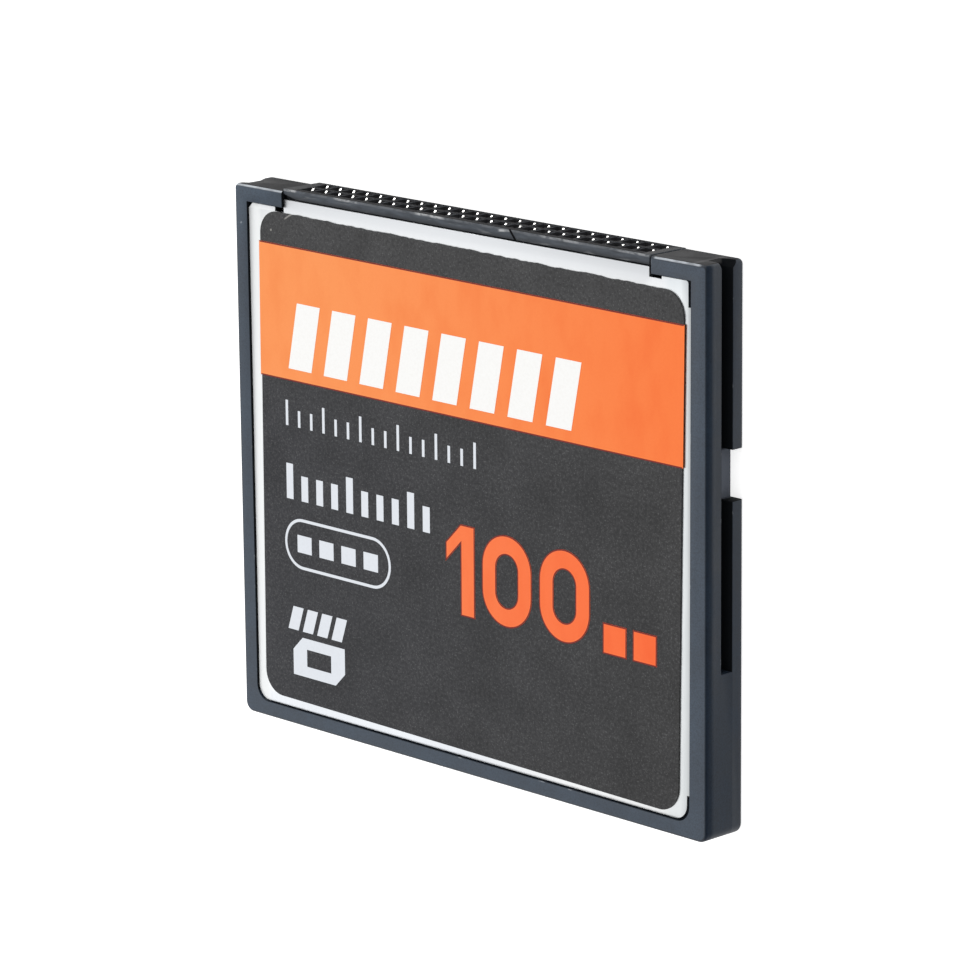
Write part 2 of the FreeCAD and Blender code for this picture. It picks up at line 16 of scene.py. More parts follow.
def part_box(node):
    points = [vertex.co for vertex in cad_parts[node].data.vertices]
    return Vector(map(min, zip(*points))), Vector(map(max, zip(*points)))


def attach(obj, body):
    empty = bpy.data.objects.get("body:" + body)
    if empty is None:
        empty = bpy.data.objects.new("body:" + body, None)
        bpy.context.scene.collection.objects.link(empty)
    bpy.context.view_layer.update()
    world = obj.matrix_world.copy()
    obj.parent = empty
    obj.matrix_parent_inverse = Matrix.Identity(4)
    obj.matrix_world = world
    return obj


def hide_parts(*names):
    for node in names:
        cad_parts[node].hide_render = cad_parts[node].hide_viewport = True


bl_info = {
    "name": "Compact flash card",
    "version": (1, 0, 0),
    "blender": (4, 5, 0),
    "location": "3D View > Sidebar > Memory card",
    "description": "Dresses the solids of a compact flash card with shapes and finishes",
    "category": "Object",
}

MM = 0.001
BODY = "root"
SOCKETS_PER_ROW = 25
SMOOTH_ANGLE = 35.0
# Shifts in mm at the left and right of the head, then of the foot, and the foot's drop
INNER_FIT = (-0.11, -0.01, -0.06, -0.13, -0.05)
LABEL_FIT = (-0.07, 0.06, -0.10, -0.155, -0.07)
# The strip in mm from the card's middle outwards in which a fit moves edges
INNER_STRIP = (19.0, 20.6)
WHOLE_FRONT = (0.0, 25.0)

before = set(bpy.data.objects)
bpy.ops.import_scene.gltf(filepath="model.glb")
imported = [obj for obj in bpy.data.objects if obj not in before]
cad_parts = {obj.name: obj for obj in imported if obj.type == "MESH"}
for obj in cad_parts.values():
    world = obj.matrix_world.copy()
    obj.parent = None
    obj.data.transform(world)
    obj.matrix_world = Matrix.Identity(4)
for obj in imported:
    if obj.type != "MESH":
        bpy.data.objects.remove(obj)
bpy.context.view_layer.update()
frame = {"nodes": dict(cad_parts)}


def colour_property(name, description, default):
    return FloatVectorProperty(
        name=name, description=description, default=default, subtype="COLOR", min=0.0, max=1.0
    )


def length_property(name, description, default):
    return FloatProperty(
        name=name, description=description, default=default, unit="LENGTH", subtype="DISTANCE"
    )


def share_property(name, description, default):
    return FloatProperty(
        name=name, description=description, default=default, subtype="FACTOR", min=0.0, max=1.0
    )


class FrameSettings(bpy.types.PropertyGroup):
    """Look of the moulded frame."""

    # The front colour is a painted sheen: front faces are painted paler and bluer than the sides.
    front_sheen_colour: colour_property(
        "Front colour", "Colour of the faces beside the label", (0.030, 0.046, 0.070)
    )
    side_colour: colour_property(
        "Side colour", "Colour of the card's sides and back", (0.0075, 0.014, 0.025)
    )
    # Painted shade: the faces on the sockets' end get this duller colour and less gloss.
    end_shade_colour: colour_property(
        "End colour", "Colour of the end with the sockets", (0.016, 0.016, 0.017)
    )
    # Painted shade: the faces in the grooves get this near-black colour and almost no gloss.
    shade_colour: colour_property(
        "Shade colour", "Colour inside the grooves", (0.006, 0.007, 0.009)
    )
    # The wear colour paints rubbed wear and nicks, and also a painted highlight along the arms'
    # upper edges.
    wear_and_highlight_colour: colour_property("Wear colour", "Colour of the rubbed edges", (0.56, 0.60, 0.65))
    edge_round: length_property("Edge rounding", "Width of the rounding on sharp edges", 0.04 * MM)
    # The wear share also sets the strength of the painted highlight on the arms' upper edges.
    wear_and_highlight: share_property("Wear", "How much the edges are rubbed pale", 0.9)


class CoverSettings(bpy.types.PropertyGroup):
    """Look of the two metal covers."""

    colour: colour_property("Colour", "Colour of the satin steel", (0.81, 0.82, 0.825))
    edge_round: length_property(
        "Edge rounding", "Width of the rounding left by the press", 0.035 * MM
    )
    brushing: share_property("Brushing", "How strongly the fine lines show", 0.35)


class LabelSettings(bpy.types.PropertyGroup):
    """Shape and look of the label film and its print."""

    colour: colour_property("Colour", "Colour of the dark film", (0.034, 0.034, 0.035))
    ragged: length_property("Ragged edge", "How far the cut upper edge strays", 0.03 * MM)
    step: length_property("Edge step", "Distance between points along the cut edge", 0.25 * MM)
    rim: length_property("Ink rim", "Width of the dark rim where orange meets the film", 0.09 * MM)
    pale_orange: colour_property(
        "Pale orange", "Colour of the band at its left end", (0.985, 0.31, 0.088)
    )
    deep_orange: colour_property(
        "Deep orange", "Colour of the band at its right end", (0.985, 0.205, 0.042)
    )
    white: colour_property("White", "Colour of the white ink on the band", (0.975, 0.972, 0.955))
    left_lift: length_property(
        "Left lift", "How far the band's upper edge rises at its left end", 0.2 * MM
    )
    right_lift: length_property(
        "Right lift", "How far the band's upper edge rises at its right end", 0.11 * MM
    )
    bleed: length_property(
        "Bleed", "How far the band's ends run out over the label's edges", 0.1 * MM
    )
    dull_white: colour_property(
        "Dull white", "Colour of the white ink below the band", (0.78, 0.815, 0.87)
    )
    rim_colour: colour_property("Rim colour", "Colour of the dark red rim", (0.22, 0.020, 0.012))


class ConnectorSettings(bpy.types.PropertyGroup):
    """Look of the socket connector and its contacts."""

    lip_colour: colour_property(
        "Lip colour", "Colour of the lip above the cover", (0.060, 0.071, 0.088)
    )
    # Painted shade: the sockets' end and the walls of the socket holes get this near-black colour.
    end_shade_colour: colour_property(
        "End colour", "Colour of the face with the sockets", (0.012, 0.012, 0.013)
    )
    # The scuff colour also paints the highlight along the lip's top edge.
    scuff_and_highlight_colour: colour_property("Scuff colour", "Colour of the rubbed edges", (0.42, 0.43, 0.44))
    edge_round: length_property(
        "Edge rounding", "Width of the rounding on the moulding", 0.05 * MM
    )
    plating: colour_property("Plating", "Colour of the bright plating", (0.94, 0.93, 0.90))
    tip_slant: length_property(
        "Tip slant", "How far the front of a contact's tip lies lower", 0.22 * MM
    )
    tip_width: length_property("Tip width", "Width of a contact's tip", 0.14 * MM)
    tip_lean: length_property("Tip lean", "How far the outermost tips lean outwards", 0.17 * MM)


class StageSettings(bpy.types.PropertyGroup):
    """Floor, light and camera."""

    floor_colour: colour_property("Floor colour", "Colour of the pale floor", (0.82, 0.82, 0.82))
    floor_lift: share_property(
        "Floor lift", "Light added to the floor where the camera sees it", 0.68
    )
    ambient: share_property("Ambient", "Light that the surroundings give", 0.92)
    key_power: FloatProperty(
        name="Key power", description="Power of the main lamp", default=0.17, unit="POWER"
    )
    top_power: FloatProperty(
        name="Top power", description="Power of the small lamp behind", default=0.3, unit="POWER"
    )
    camera_shade: share_property(
        "Camera shade", "Tone of the dark side of the room in reflections", 0.12
    )


class CardSettings(bpy.types.PropertyGroup):
    """All settings of the card."""

    frame: PointerProperty(type=FrameSettings)
    cover: PointerProperty(type=CoverSettings)
    label: PointerProperty(type=LabelSettings)
    connector: PointerProperty(type=ConnectorSettings)
    stage: PointerProperty(type=StageSettings)


def scaled(colour, *shares):
    """A colour multiplied by one share, or by one for each channel."""
    if len(shares) == 1:
        shares *= 3
    return tuple(channel * share for channel, share in zip(colour, shares))


class Finish:
    """A procedural material, built node by node. Its patterns read object coordinates in mm."""

    def __init__(self, name, metallic=0.0, specular=0.5):
        self.material = bpy.data.materials.new(name)
        self.material.use_nodes = True
        self.tree = self.material.node_tree
        self.tree.nodes.clear()
        output = self.node("ShaderNodeOutputMaterial")
        self.surface = self.node("ShaderNodeBsdfPrincipled")
        self.surface.inputs["Metallic"].default_value = metallic
        self.surface.inputs["Specular IOR Level"].default_value = specular
        self.link(self.surface.outputs[0], output.inputs["Surface"])
        place = self.node("ShaderNodeTexCoord").outputs["Object"]
        in_mm = self.node("ShaderNodeVectorMath", operation="SCALE")
        in_mm.inputs["Scale"].default_value = 1 / MM
        self.link(place, in_mm.inputs[0])
        self.place = in_mm.outputs[0]

    def node(self, kind, **settings):
        made = self.tree.nodes.new(kind)
        for key, value in settings.items():
            setattr(made, key, value)
        return made

    def link(self, source, target):
        self.tree.links.new(source, target)

    def feed(self, value, target):
        """Links a socket, or sets a plain value."""
        if isinstance(value, bpy.types.NodeSocket):
            self.link(value, target)
        elif isinstance(value, (int, float)) or len(value) == len(target.default_value):
            target.default_value = value
        else:
            target.default_value = (*value, 1.0)

    def maths(self, operation, first, second=0.0):
        made = self.node("ShaderNodeMath", operation=operation)
        for value, target in zip((first, second), made.inputs):
            self.feed(value, target)
        return made.outputs[0]

    def product(self, first, *others):
        for other in others:
            first = self.maths("MULTIPLY", first, other)
        return first

    def largest(self, first, *others):
        for other in others:
            first = self.maths("MAXIMUM", first, other)
        return first

    def vector(self, operation, first, second=(0.0, 0.0, 0.0)):
        made = self.node("ShaderNodeVectorMath", operation=operation)
        self.feed(first, made.inputs[0])
        self.feed(second, made.inputs[1])
        return made

    def noise(self, scale, detail=2.0, stretch=(1.0, 1.0, 1.0), distortion=0.0, shift=0.0):
        """Cloudy pattern between 0 and 1, with features about 1 / scale millimetres wide."""
        placed = self.node("ShaderNodeMapping")
        placed.inputs["Location"].default_value = (shift, shift, shift)
        placed.inputs["Scale"].default_value = stretch
        self.link(self.place, placed.inputs["Vector"])
        made = self.node("ShaderNodeTexNoise")
        made.inputs["Scale"].default_value = scale
        made.inputs["Detail"].default_value = detail
        made.inputs["Distortion"].default_value = distortion
        self.link(placed.outputs[0], made.inputs["Vector"])
        return made.outputs["Fac"]

    def spread(self, value, low, high, new_low=0.0, new_high=1.0):
        """Maps low to high onto new_low to new_high and clamps."""
        made = self.node("ShaderNodeMapRange")
        for number, target in zip((value, low, high, new_low, new_high), made.inputs):
            self.feed(number, target)
        return made.outputs[0]

    def mix(self, share, first, second, blend="MIX"):
        made = self.node("ShaderNodeMix", data_type="RGBA", blend_type=blend)
        self.feed(share, made.inputs["Factor"])
        self.feed(first, made.inputs[6])
        self.feed(second, made.inputs[7])
        return made.outputs[2]

    def tinted(self, tone, shares):
        """A colour multiplied by another."""
        return self.mix(1.0, tone, shares, "MULTIPLY")

    def part_of_place(self, axis):
        parts = self.node("ShaderNodeSeparateXYZ")
        self.link(self.place, parts.inputs[0])
        return parts.outputs[axis]

    def ramp(self, axis, start, end, low=0.0, high=1.0):
        """Runs from low to high between two places in mm along X, Y or Z."""
        return self.spread(self.part_of_place(axis), start, end, low, high)

    def between(self, axis, ramps):
        """Mask of a strip, with a ramp at each of its sides."""
        return self.product(*(self.ramp(axis, *ends) for ends in ramps))

    def streak(self, x, y, angle, length, width):
        """Mask of a short soft stroke on the top, centred at x and y in millimetres."""
        moved = self.vector("SUBTRACT", self.place, (x, y, 0.0)).outputs[0]
        turned = self.node("ShaderNodeVectorRotate", rotation_type="Z_AXIS")
        turned.inputs["Angle"].default_value = -math.radians(angle)
        self.link(moved, turned.inputs["Vector"])
        parts = self.node("ShaderNodeSeparateXYZ")
        self.link(turned.outputs[0], parts.inputs[0])
        along = self.maths("ABSOLUTE", parts.outputs["X"])
        across = self.maths("ABSOLUTE", parts.outputs["Y"])
        inside_length = self.spread(along, length / 2, length * 0.3)
        inside_width = self.spread(across, width / 2, width * 0.2)
        return self.product(inside_length, inside_width)

    def spot(self, centre, size):
        """Mask of a soft spot with its centre and its half sizes in millimetres."""
        offset = self.vector("SUBTRACT", self.place, centre).outputs[0]
        away = self.vector("LENGTH", self.vector("DIVIDE", offset, size).outputs[0])
        return self.spread(away.outputs["Value"], 1.0, 0.6)

    def rounded_normal(self, radius):
        made = self.node("ShaderNodeBevel", samples=6)
        made.inputs["Radius"].default_value = radius
        return made.outputs[0]

    def edges(self, radius):
        """Mask that is 1 on sharp edges and 0 on flat faces."""
        rounded = self.rounded_normal(radius)
        normal = self.node("ShaderNodeNewGeometry").outputs["Normal"]
        same = self.vector("DOT_PRODUCT", rounded, normal).outputs["Value"]
        return self.spread(same, 0.995, 0.86)

    def bump(self, height, depth, normal=None):
        """Relief whose full height is depth, in metres."""
        made = self.node("ShaderNodeBump")
        made.inputs["Strength"].default_value = 1.0
        made.inputs["Distance"].default_value = depth
        self.link(height, made.inputs["Height"])
        if normal is not None:
            self.link(normal, made.inputs["Normal"])
        self.link(made.outputs[0], self.surface.inputs["Normal"])

    def finish(self, colour, roughness):
        self.feed(colour, self.surface.inputs["Base Color"])
        self.feed(roughness, self.surface.inputs["Roughness"])
        return self.material


# The frame's marks: ramps along X, Y and Z in mm, and ramps of how far a face leans
FRONT_Z, FRONT_LEAN = (3.0, 3.1), (0.93, 0.995)
LEFT_ARM_X, LEFT_ARM_Y = (-16.0, -19.0), (12.0, 17.5)
# The pale band along the arms' upper edges, which face up and back, is partly wear and partly a
# painted highlight.
RUBBED_HIGHLIT_Y, RUBBED_HIGHLIT_Z = (17.3, 17.6), (2.7, 2.8)
RUBBED_HIGHLIT_LEAN_Y, RUBBED_HIGHLIT_LEAN_Z = (0.25, 0.5), (0.12, 0.35)
CLEAR_GAP_X = ((17.1, 16.9), (16.0, 16.1))
CLEAR_CORNER_X = (20.7, 20.95)
RIM_SPECK = (-20.79, 15.46, 30.0, 0.22, 0.16)
SIDE_LEAN = (0.4, 0.65)
DARK_BAND_Z = ((2.56, 2.88), (3.38, 3.15))
SIDE_Y, BACK_WALL_Z = (-16.0, 14.0), (1.0, 0.9)
FRAME_GLOSS, SIDE_GLOSS, BACK_WALL_GLOSS, BAND_GLOSS = 0.42, (0.22, 0.33), 0.1, 0.07


def frame_plastic(settings):
    """Satin plastic with a fine grain. Its front faces are painted paler and bluer than its sides,
    a painted sheen, and the arms' upper edges are pale, partly rubbed and partly a painted
    highlight.
    """
    made = Finish("frame_plastic", specular=FRAME_GLOSS)
    cloud = made.noise(0.45, 4.0)
    grain = made.noise(9.0, 2.0)
    facing = made.node("ShaderNodeSeparateXYZ")
    made.link(made.node("ShaderNodeNewGeometry").outputs["Normal"], facing.inputs[0])
    lean = facing.outputs
    # Front faces take the paler, bluer front colour: painted sheen.
    front = made.product(made.spread(lean["Z"], *FRONT_LEAN), made.ramp("Z", *FRONT_Z))
    tone = made.mix(front, settings.side_colour, settings.front_sheen_colour)
    tone = made.mix(made.spread(cloud, 0.35, 0.7), tone, made.tinted(tone, (1.45, 1.4, 1.35)))
    left_arm = made.product(made.ramp("X", *LEFT_ARM_X), made.ramp("Y", *LEFT_ARM_Y))
    tone = made.mix(left_arm, tone, made.tinted(tone, (1.32, 1.32, 1.3)))
    tone = made.mix(made.spread(grain, 0.4, 0.7, 0.0, 0.3), tone, (0.0, 0.0, 0.0))
    clear = made.largest(made.between("X", CLEAR_GAP_X), made.ramp("X", *CLEAR_CORNER_X))
    # Painted highlight mixed with wear along the arms' upper edges.
    rubbed_and_highlit = made.product(
        made.spread(lean["Y"], *RUBBED_HIGHLIT_LEAN_Y),
        made.spread(lean["Z"], *RUBBED_HIGHLIT_LEAN_Z),
        made.ramp("Y", *RUBBED_HIGHLIT_Y),
        made.ramp("Z", *RUBBED_HIGHLIT_Z),
        made.maths("SUBTRACT", 1.0, clear),
        made.spread(made.noise(2.4, 5.0, (0.5, 1.0, 1.0)), 0.3, 0.6, 0.45, 1.0),
        settings.wear_and_highlight,
    )
    nicks = made.product(made.edges(0.12 * MM), made.spread(made.noise(1.3, 6.0), 0.62, 0.7), 0.5)
    speck = made.product(made.streak(*RIM_SPECK), 0.3)
    tone = made.mix(made.largest(rubbed_and_highlit, nicks, speck), tone, settings.wear_and_highlight_colour)
    shadow = made.product(made.between("Z", DARK_BAND_Z), made.spread(lean["X"], *SIDE_LEAN))
    back_wall_gloss = made.ramp("Z", *BACK_WALL_Z, 0.0, BACK_WALL_GLOSS)
    side_gloss = made.maths("ADD", made.ramp("Y", *SIDE_Y, *SIDE_GLOSS), back_wall_gloss)
    gloss = made.spread(lean["X"], *SIDE_LEAN, FRAME_GLOSS, side_gloss)
    gloss = made.spread(shadow, 0.0, 1.0, gloss, BAND_GLOSS)
    made.feed(gloss, made.surface.inputs["Specular IOR Level"])
    made.bump(grain, 0.004 * MM, made.rounded_normal(0.06 * MM))
    return made.finish(tone, made.spread(cloud, 0.25, 0.75, 0.42, 0.54))


# Ramps in mm round the right groove's floor, at its stop notch and at its mouth, where light is
# painted into the groove
NOTCH_X, NOTCH_Y, NOTCH_Z = ((20.1, 20.2), (20.5, 20.4)), ((3.1, 3.25), (6.35, 6.2)), (0.86, 0.78)
NOTCH_LIT_TONE = (0.125, 0.138, 0.165)
MOUTH_X, MOUTH_Y = ((20.45, 20.35), (19.9, 20.1)), (17.8, 18.0)
MOUTH_LIT_TONE = (0.06, 0.06, 0.062)
MOUTH_HIGHLIGHT = ((20.88, 18.16, 0.99), (0.45, 0.1, 0.16))
MOUTH_HIGHLIGHT_TONE = (0.22, 0.22, 0.23)


def shaded_dull_plastic(name, colour, shade, specular, roughness):
    """Dull grained plastic that paints shade, with painted light on the right groove's floor at
    its notch and at its mouth.
    """
    made = Finish(name, specular=specular)
    grain = made.noise(7.0, 3.0)
    cloud = made.noise(0.9, 4.0)
    tone = made.mix(made.spread(grain, 0.35, 0.7), colour, shade)
    tone = made.mix(made.spread(cloud, 0.4, 0.7, 0.0, 0.5), tone, shade)
    low = made.ramp("Z", *NOTCH_Z)
    notch = made.product(made.between("Y", NOTCH_Y), low, made.between("X", NOTCH_X))
    # Painted light on the groove's floor at the notch, where light reaches in.
    tone = made.mix(notch, tone, NOTCH_LIT_TONE)
    mouth = made.product(made.ramp("Y", *MOUTH_Y), made.between("X", MOUTH_X))
    # Painted light on the groove's floor at its mouth.
    tone = made.mix(mouth, tone, MOUTH_LIT_TONE)
    # Painted highlight: a light streak at the groove's mouth.
    tone = made.mix(made.spot(*MOUTH_HIGHLIGHT), tone, MOUTH_HIGHLIGHT_TONE)
    made.bump(grain, 0.004 * MM)
    return made.finish(tone, made.spread(cloud, 0.3, 0.7, roughness, roughness + 0.1))


ROW_END_X = (15.76, 15.86)


def socket_shade_plastic(settings):
    """Near-black, dull plastic on the sockets' end and in the socket holes, painted shade there,
    that turns grey beyond the ends of the rows.
    """
    made = Finish("socket_shade_plastic")
    grain = made.noise(7.0, 3.0)
    coarse = made.spread(grain, 0.35, 0.7)
    beyond = made.spread(made.maths("ABSOLUTE", made.part_of_place("X")), *ROW_END_X)
    black = made.mix(coarse, settings.end_shade_colour, (0.019, 0.019, 0.021))
    grey = made.mix(coarse, (0.022, 0.022, 0.024), (0.034, 0.034, 0.037))
    gloss = made.spread(beyond, 0.0, 1.0, 0.04, 0.22)
    made.feed(gloss, made.surface.inputs["Specular IOR Level"])
    made.bump(grain, 0.004 * MM)
    return made.finish(made.mix(beyond, black, grey), 0.68)


# Ramps in mm of the cover's strips round the label, and what each multiplies the steel by. The
# strips carry painted shade: darker at the head, the foot and the right, darkest at the right bend
HEAD_Y, HEAD_SHADE_SHARE = (15.5, 17.0), (0.80, 0.81, 0.83)
RIGHT_X, RIGHT_BEND_SHADE_X = (17.6, 18.2), (19.1, 19.85)
RIGHT_SHADE_SHARE, RIGHT_BEND_SHADE_SHARE = (0.92, 0.94, 0.945), (0.60, 0.615, 0.625)
FOOT_Y, FOOT_X, FOOT_SHADE_SHARE = (-15.6, -16.6), (9.0, 0.0), (0.86, 0.88, 0.915)
# The left strip is painted paler and less like a mirror: painted light on the steel
LEFT_X, LEFT_LIT_TONE, LEFT_LIT_METAL = (-18.9, -19.3), (0.88, 0.90, 0.905), 0.15


def cover_steel(settings):
    """Satin steel with fine brushing and faint stains, and painted light and shade on the strips
    round the label.
    """
    made = Finish("cover_steel", metallic=1.0)
    lines = made.noise(1.4, 4.0, (14.0, 0.5, 1.0))
    cloud = made.noise(0.22, 3.0)
    stain = made.noise(0.9, 5.0, shift=7.0)
    darker = scaled(settings.colour, 0.9)
    tone = made.mix(made.spread(cloud, 0.35, 0.7, 0.0, 0.5), settings.colour, darker)
    # Painted shade on the head strip.
    tone = made.mix(made.ramp("Y", *HEAD_Y), tone, scaled(settings.colour, *HEAD_SHADE_SHARE))
    tone = made.mix(made.spread(stain, 0.62, 0.8, 0.0, 0.25), tone, darker)
    brushed = made.product(made.spread(lines, 0.3, 0.7), settings.brushing * 0.3)
    tone = made.mix(brushed, tone, darker)
    # Painted shade on the right strip, darkest at the bend.
    bend_shade = made.mix(made.ramp("X", *RIGHT_BEND_SHADE_X), RIGHT_SHADE_SHARE, RIGHT_BEND_SHADE_SHARE)
    tone = made.mix(made.ramp("X", *RIGHT_X), tone, made.tinted(tone, bend_shade))
    # Painted shade on the foot strip.
    foot = made.product(made.ramp("Y", *FOOT_Y), made.ramp("X", *FOOT_X))
    tone = made.mix(foot, tone, made.tinted(tone, FOOT_SHADE_SHARE))
    # Painted light on the left strip: paler and less metallic.
    left = made.ramp("X", *LEFT_X)
    tone = made.mix(left, tone, LEFT_LIT_TONE)
    made.feed(made.spread(left, 0.0, 1.0, 1.0, LEFT_LIT_METAL), made.surface.inputs["Metallic"])
    made.bump(lines, 0.0012 * MM, made.rounded_normal(0.04 * MM))
    return made.finish(tone, made.spread(lines, 0.2, 0.8, 0.3, 0.4))


LABEL_X, LABEL_LEFT_SHARE = (-20.0, 20.0), (0.95, 0.98, 1.12)
LABEL_HEAD_Y = (2.0, 16.0)
LABEL_SPECK_TONE = (0.21, 0.212, 0.215)
# X, Y, angle, length and width of each scratch, in mm and degrees
LABEL_SCRATCHES = (
    (-16.22, 16.42, 31.0, 0.95, 0.14),
    (-15.95, 16.58, 31.0, 0.35, 0.2),
    (-17.92, 15.32, 20.0, 0.2, 0.18),
)
LABEL_SCRATCH_TONE = (0.34, 0.33, 0.31)


def label_film(settings):
    """Dark film with a fine speckled grain, pale specks and a few scratches."""
    made = Finish("label_film", specular=0.25)
    grain = made.noise(4.6, 3.0)
    fine = made.noise(9.0, 2.0, shift=3.0)
    cloud = made.noise(0.3, 3.0)
    left = scaled(settings.colour, *LABEL_LEFT_SHARE)
    tone = made.mix(made.ramp("X", *LABEL_X), left, settings.colour)
    tone = made.mix(made.ramp("Y", *LABEL_HEAD_Y), tone, scaled(settings.colour, 1.45))
    darker = scaled(settings.colour, 0.42)
    paler = tuple(channel * 1.9 + 0.008 for channel in settings.colour)
    tone = made.mix(made.spread(grain, 0.5, 0.3, 0.0, 0.5), tone, darker)
    tone = made.mix(made.spread(grain, 0.5, 0.72, 0.0, 0.6), tone, paler)
    tone = made.mix(made.spread(fine, 0.58, 0.7, 0.0, 0.32), tone, LABEL_SPECK_TONE)
    tone = made.mix(made.spread(cloud, 0.35, 0.7, 0.0, 0.25), tone, darker)
    scratches = made.largest(*(made.streak(*scratch) for scratch in LABEL_SCRATCHES))
    tone = made.mix(made.product(scratches, 0.75), tone, LABEL_SCRATCH_TONE)
    made.bump(grain, 0.005 * MM)
    return made.finish(tone, made.spread(cloud, 0.3, 0.7, 0.54, 0.66))


ORANGE_X = (-12.0, 18.5)
PALE_MOTTLE, DEEP_MOTTLE = (0.93, 0.25, 0.065), (0.93, 0.15, 0.03)


def orange_ink(name, settings, depth):
    """Mottled orange ink, pale to deep along the card. Depth multiplies its colour."""
    made = Finish(name, specular=0.25)
    across = made.ramp("X", *ORANGE_X)
    tone = made.mix(across, settings.pale_orange, settings.deep_orange)
    mottle = made.noise(0.7, 5.0, (1.0, 0.45, 1.0))
    grain = made.noise(6.5, 2.0)
    deeper = made.mix(across, PALE_MOTTLE, DEEP_MOTTLE)
    tone = made.mix(made.spread(mottle, 0.45, 0.75, 0.0, 0.5), tone, deeper)
    tone = made.mix(made.spread(grain, 0.4, 0.7, 0.0, 0.16), tone, deeper)
    tone = made.tinted(tone, depth)
    made.bump(grain, 0.0025 * MM)
    return made.finish(tone, made.spread(mottle, 0.3, 0.7, 0.54, 0.66))


def inked(made, colour, shade):
    """Faint grain that shades an ink towards a second colour."""
    grain = made.noise(6.0, 3.0)
    tone = made.mix(made.spread(grain, 0.42, 0.75, 0.0, 0.5), colour, shade)
    made.bump(grain, 0.002 * MM)
    return made.finish(tone, made.spread(grain, 0.3, 0.7, 0.5, 0.6))


WHITE_FADE = 0.4
WHITE_SHADE = (0.94, 0.93, 0.92)


def white_ink(settings, band_foot):
    """White ink that is bright on the band and duller below it. Band_foot is in mm."""
    made = Finish("white_ink", specular=0.25)
    below = made.ramp("Y", band_foot, band_foot - WHITE_FADE)
    tone = made.mix(below, settings.white, settings.dull_white)
    return inked(made, tone, made.tinted(tone, WHITE_SHADE))


# The lip's marks in mm, partly scuffs and partly painted highlight. Each dash has a middle, a
# length and a strength
LIP_DASHES = (
    (-16.1, 1.5, 1.0),
    (-10.8, 3.0, 0.8),
    (-2.9, 3.2, 1.0),
    (8.8, 4.4, 0.6),
    (15.0, 3.4, 0.6),
)
LIP_DASH_Y, LIP_DASH_WIDTH, LIP_DASH_LEAST = 18.15, 0.6, 0.16
LIP_FOOT_SHADE_Y, LIP_EDGE_Y, LIP_EDGE_Z = (17.84, 17.6), (18.02, 18.1), (2.95, 3.0)
BURR = (3.85, 18.07, 6.0, 1.2, 0.22)


def connector_plastic(settings):
    """Matt moulding with painted shade at the foot of its lip, pale along the top edge, partly
    scuffs and partly a painted highlight.
    """
    made = Finish("connector_plastic", specular=0.3)
    grain = made.noise(8.0, 3.0)
    cloud = made.noise(1.6, 5.0, (0.5, 2.2, 1.0))
    dark = scaled(settings.lip_colour, 0.25)
    tone = made.mix(made.spread(cloud, 0.35, 0.7, 0.0, 0.6), settings.lip_colour, dark)
    # Painted shade at the foot of the lip, where it meets the cover.
    tone = made.mix(made.ramp("Y", *LIP_FOOT_SHADE_Y), tone, dark)
    dashes = [LIP_DASH_LEAST]
    for middle, length, strength in LIP_DASHES:
        dash = made.streak(middle, LIP_DASH_Y, 0.0, length, LIP_DASH_WIDTH)
        dashes.append(made.product(dash, strength))
    broken = made.spread(made.noise(2.2, 6.0, (0.8, 1.5, 1.5), 0.5), 0.4, 0.55, 0.25, 1.0)
    # Pale line along the lip's top front edge: partly scuffs, partly painted highlight.
    edge = made.product(made.ramp("Y", *LIP_EDGE_Y), made.ramp("Z", *LIP_EDGE_Z))
    rubbed_and_highlit = made.product(edge, made.largest(*dashes), broken)
    burr = made.product(made.streak(*BURR), broken)
    scratches = made.noise(1.1, 6.0, (0.35, 3.0, 3.0), 0.4, 5.0)
    scratches = made.spread(scratches, 0.58, 0.72, 0.0, 0.25)
    tone = made.mix(made.largest(rubbed_and_highlit, burr, scratches), tone, settings.scuff_and_highlight_colour)
    made.bump(grain, 0.005 * MM, made.rounded_normal(0.05 * MM))
    return made.finish(tone, made.spread(cloud, 0.25, 0.75, 0.5, 0.62))


def plating(name, colour, roughness=0.22):
    """Bright metal with small dull clouds."""
    made = Finish(name, metallic=1.0)
    cloud = made.noise(3.0, 3.0)
    darker = scaled(colour, 0.8)
    tone = made.mix(made.spread(cloud, 0.4, 0.75), colour, darker)
    made.bump(made.noise(9.0, 2.0), 0.001 * MM)
    return made.finish(tone, made.spread(cloud, 0.3, 0.7, roughness, roughness + 0.14))


def board_laminate():
    """Green solder resist over a faint weave, with paler tracks under it."""
    made = Finish("board_laminate", specular=0.5)
    weave = made.node("ShaderNodeTexBrick", offset=0.5)
    made.link(made.place, weave.inputs["Vector"])
    weave.inputs["Scale"].default_value = 1.6
    weave.inputs["Mortar Size"].default_value = 0.03
    weave.inputs["Color1"].default_value = (0.012, 0.10, 0.045, 1.0)
    weave.inputs["Color2"].default_value = (0.018, 0.125, 0.055, 1.0)
    weave.inputs["Mortar"].default_value = (0.03, 0.2, 0.09, 1.0)
    cloud = made.noise(0.6, 3.0)
    clouded = made.spread(cloud, 0.4, 0.7, 0.0, 0.4)
    tone = made.mix(clouded, weave.outputs["Color"], (0.01, 0.075, 0.03))
    made.bump(weave.outputs["Fac"], 0.004 * MM)
    return made.finish(tone, made.spread(cloud, 0.3, 0.7, 0.28, 0.4))


def moulded(name, colour, shade, roughness):
    """Resin or fired clay with a fine grain."""
    made = Finish(name, specular=0.4)
    grain = made.noise(7.0, 4.0)
    cloud = made.noise(0.9, 3.0)
    tone = made.mix(made.spread(grain, 0.35, 0.7, 0.0, 0.6), colour, shade)
    tone = made.mix(made.spread(cloud, 0.4, 0.7, 0.0, 0.35), tone, shade)
    made.bump(grain, 0.005 * MM, made.rounded_normal(0.04 * MM))
    return made.finish(tone, made.spread(grain, 0.3, 0.7, roughness, roughness + 0.12))


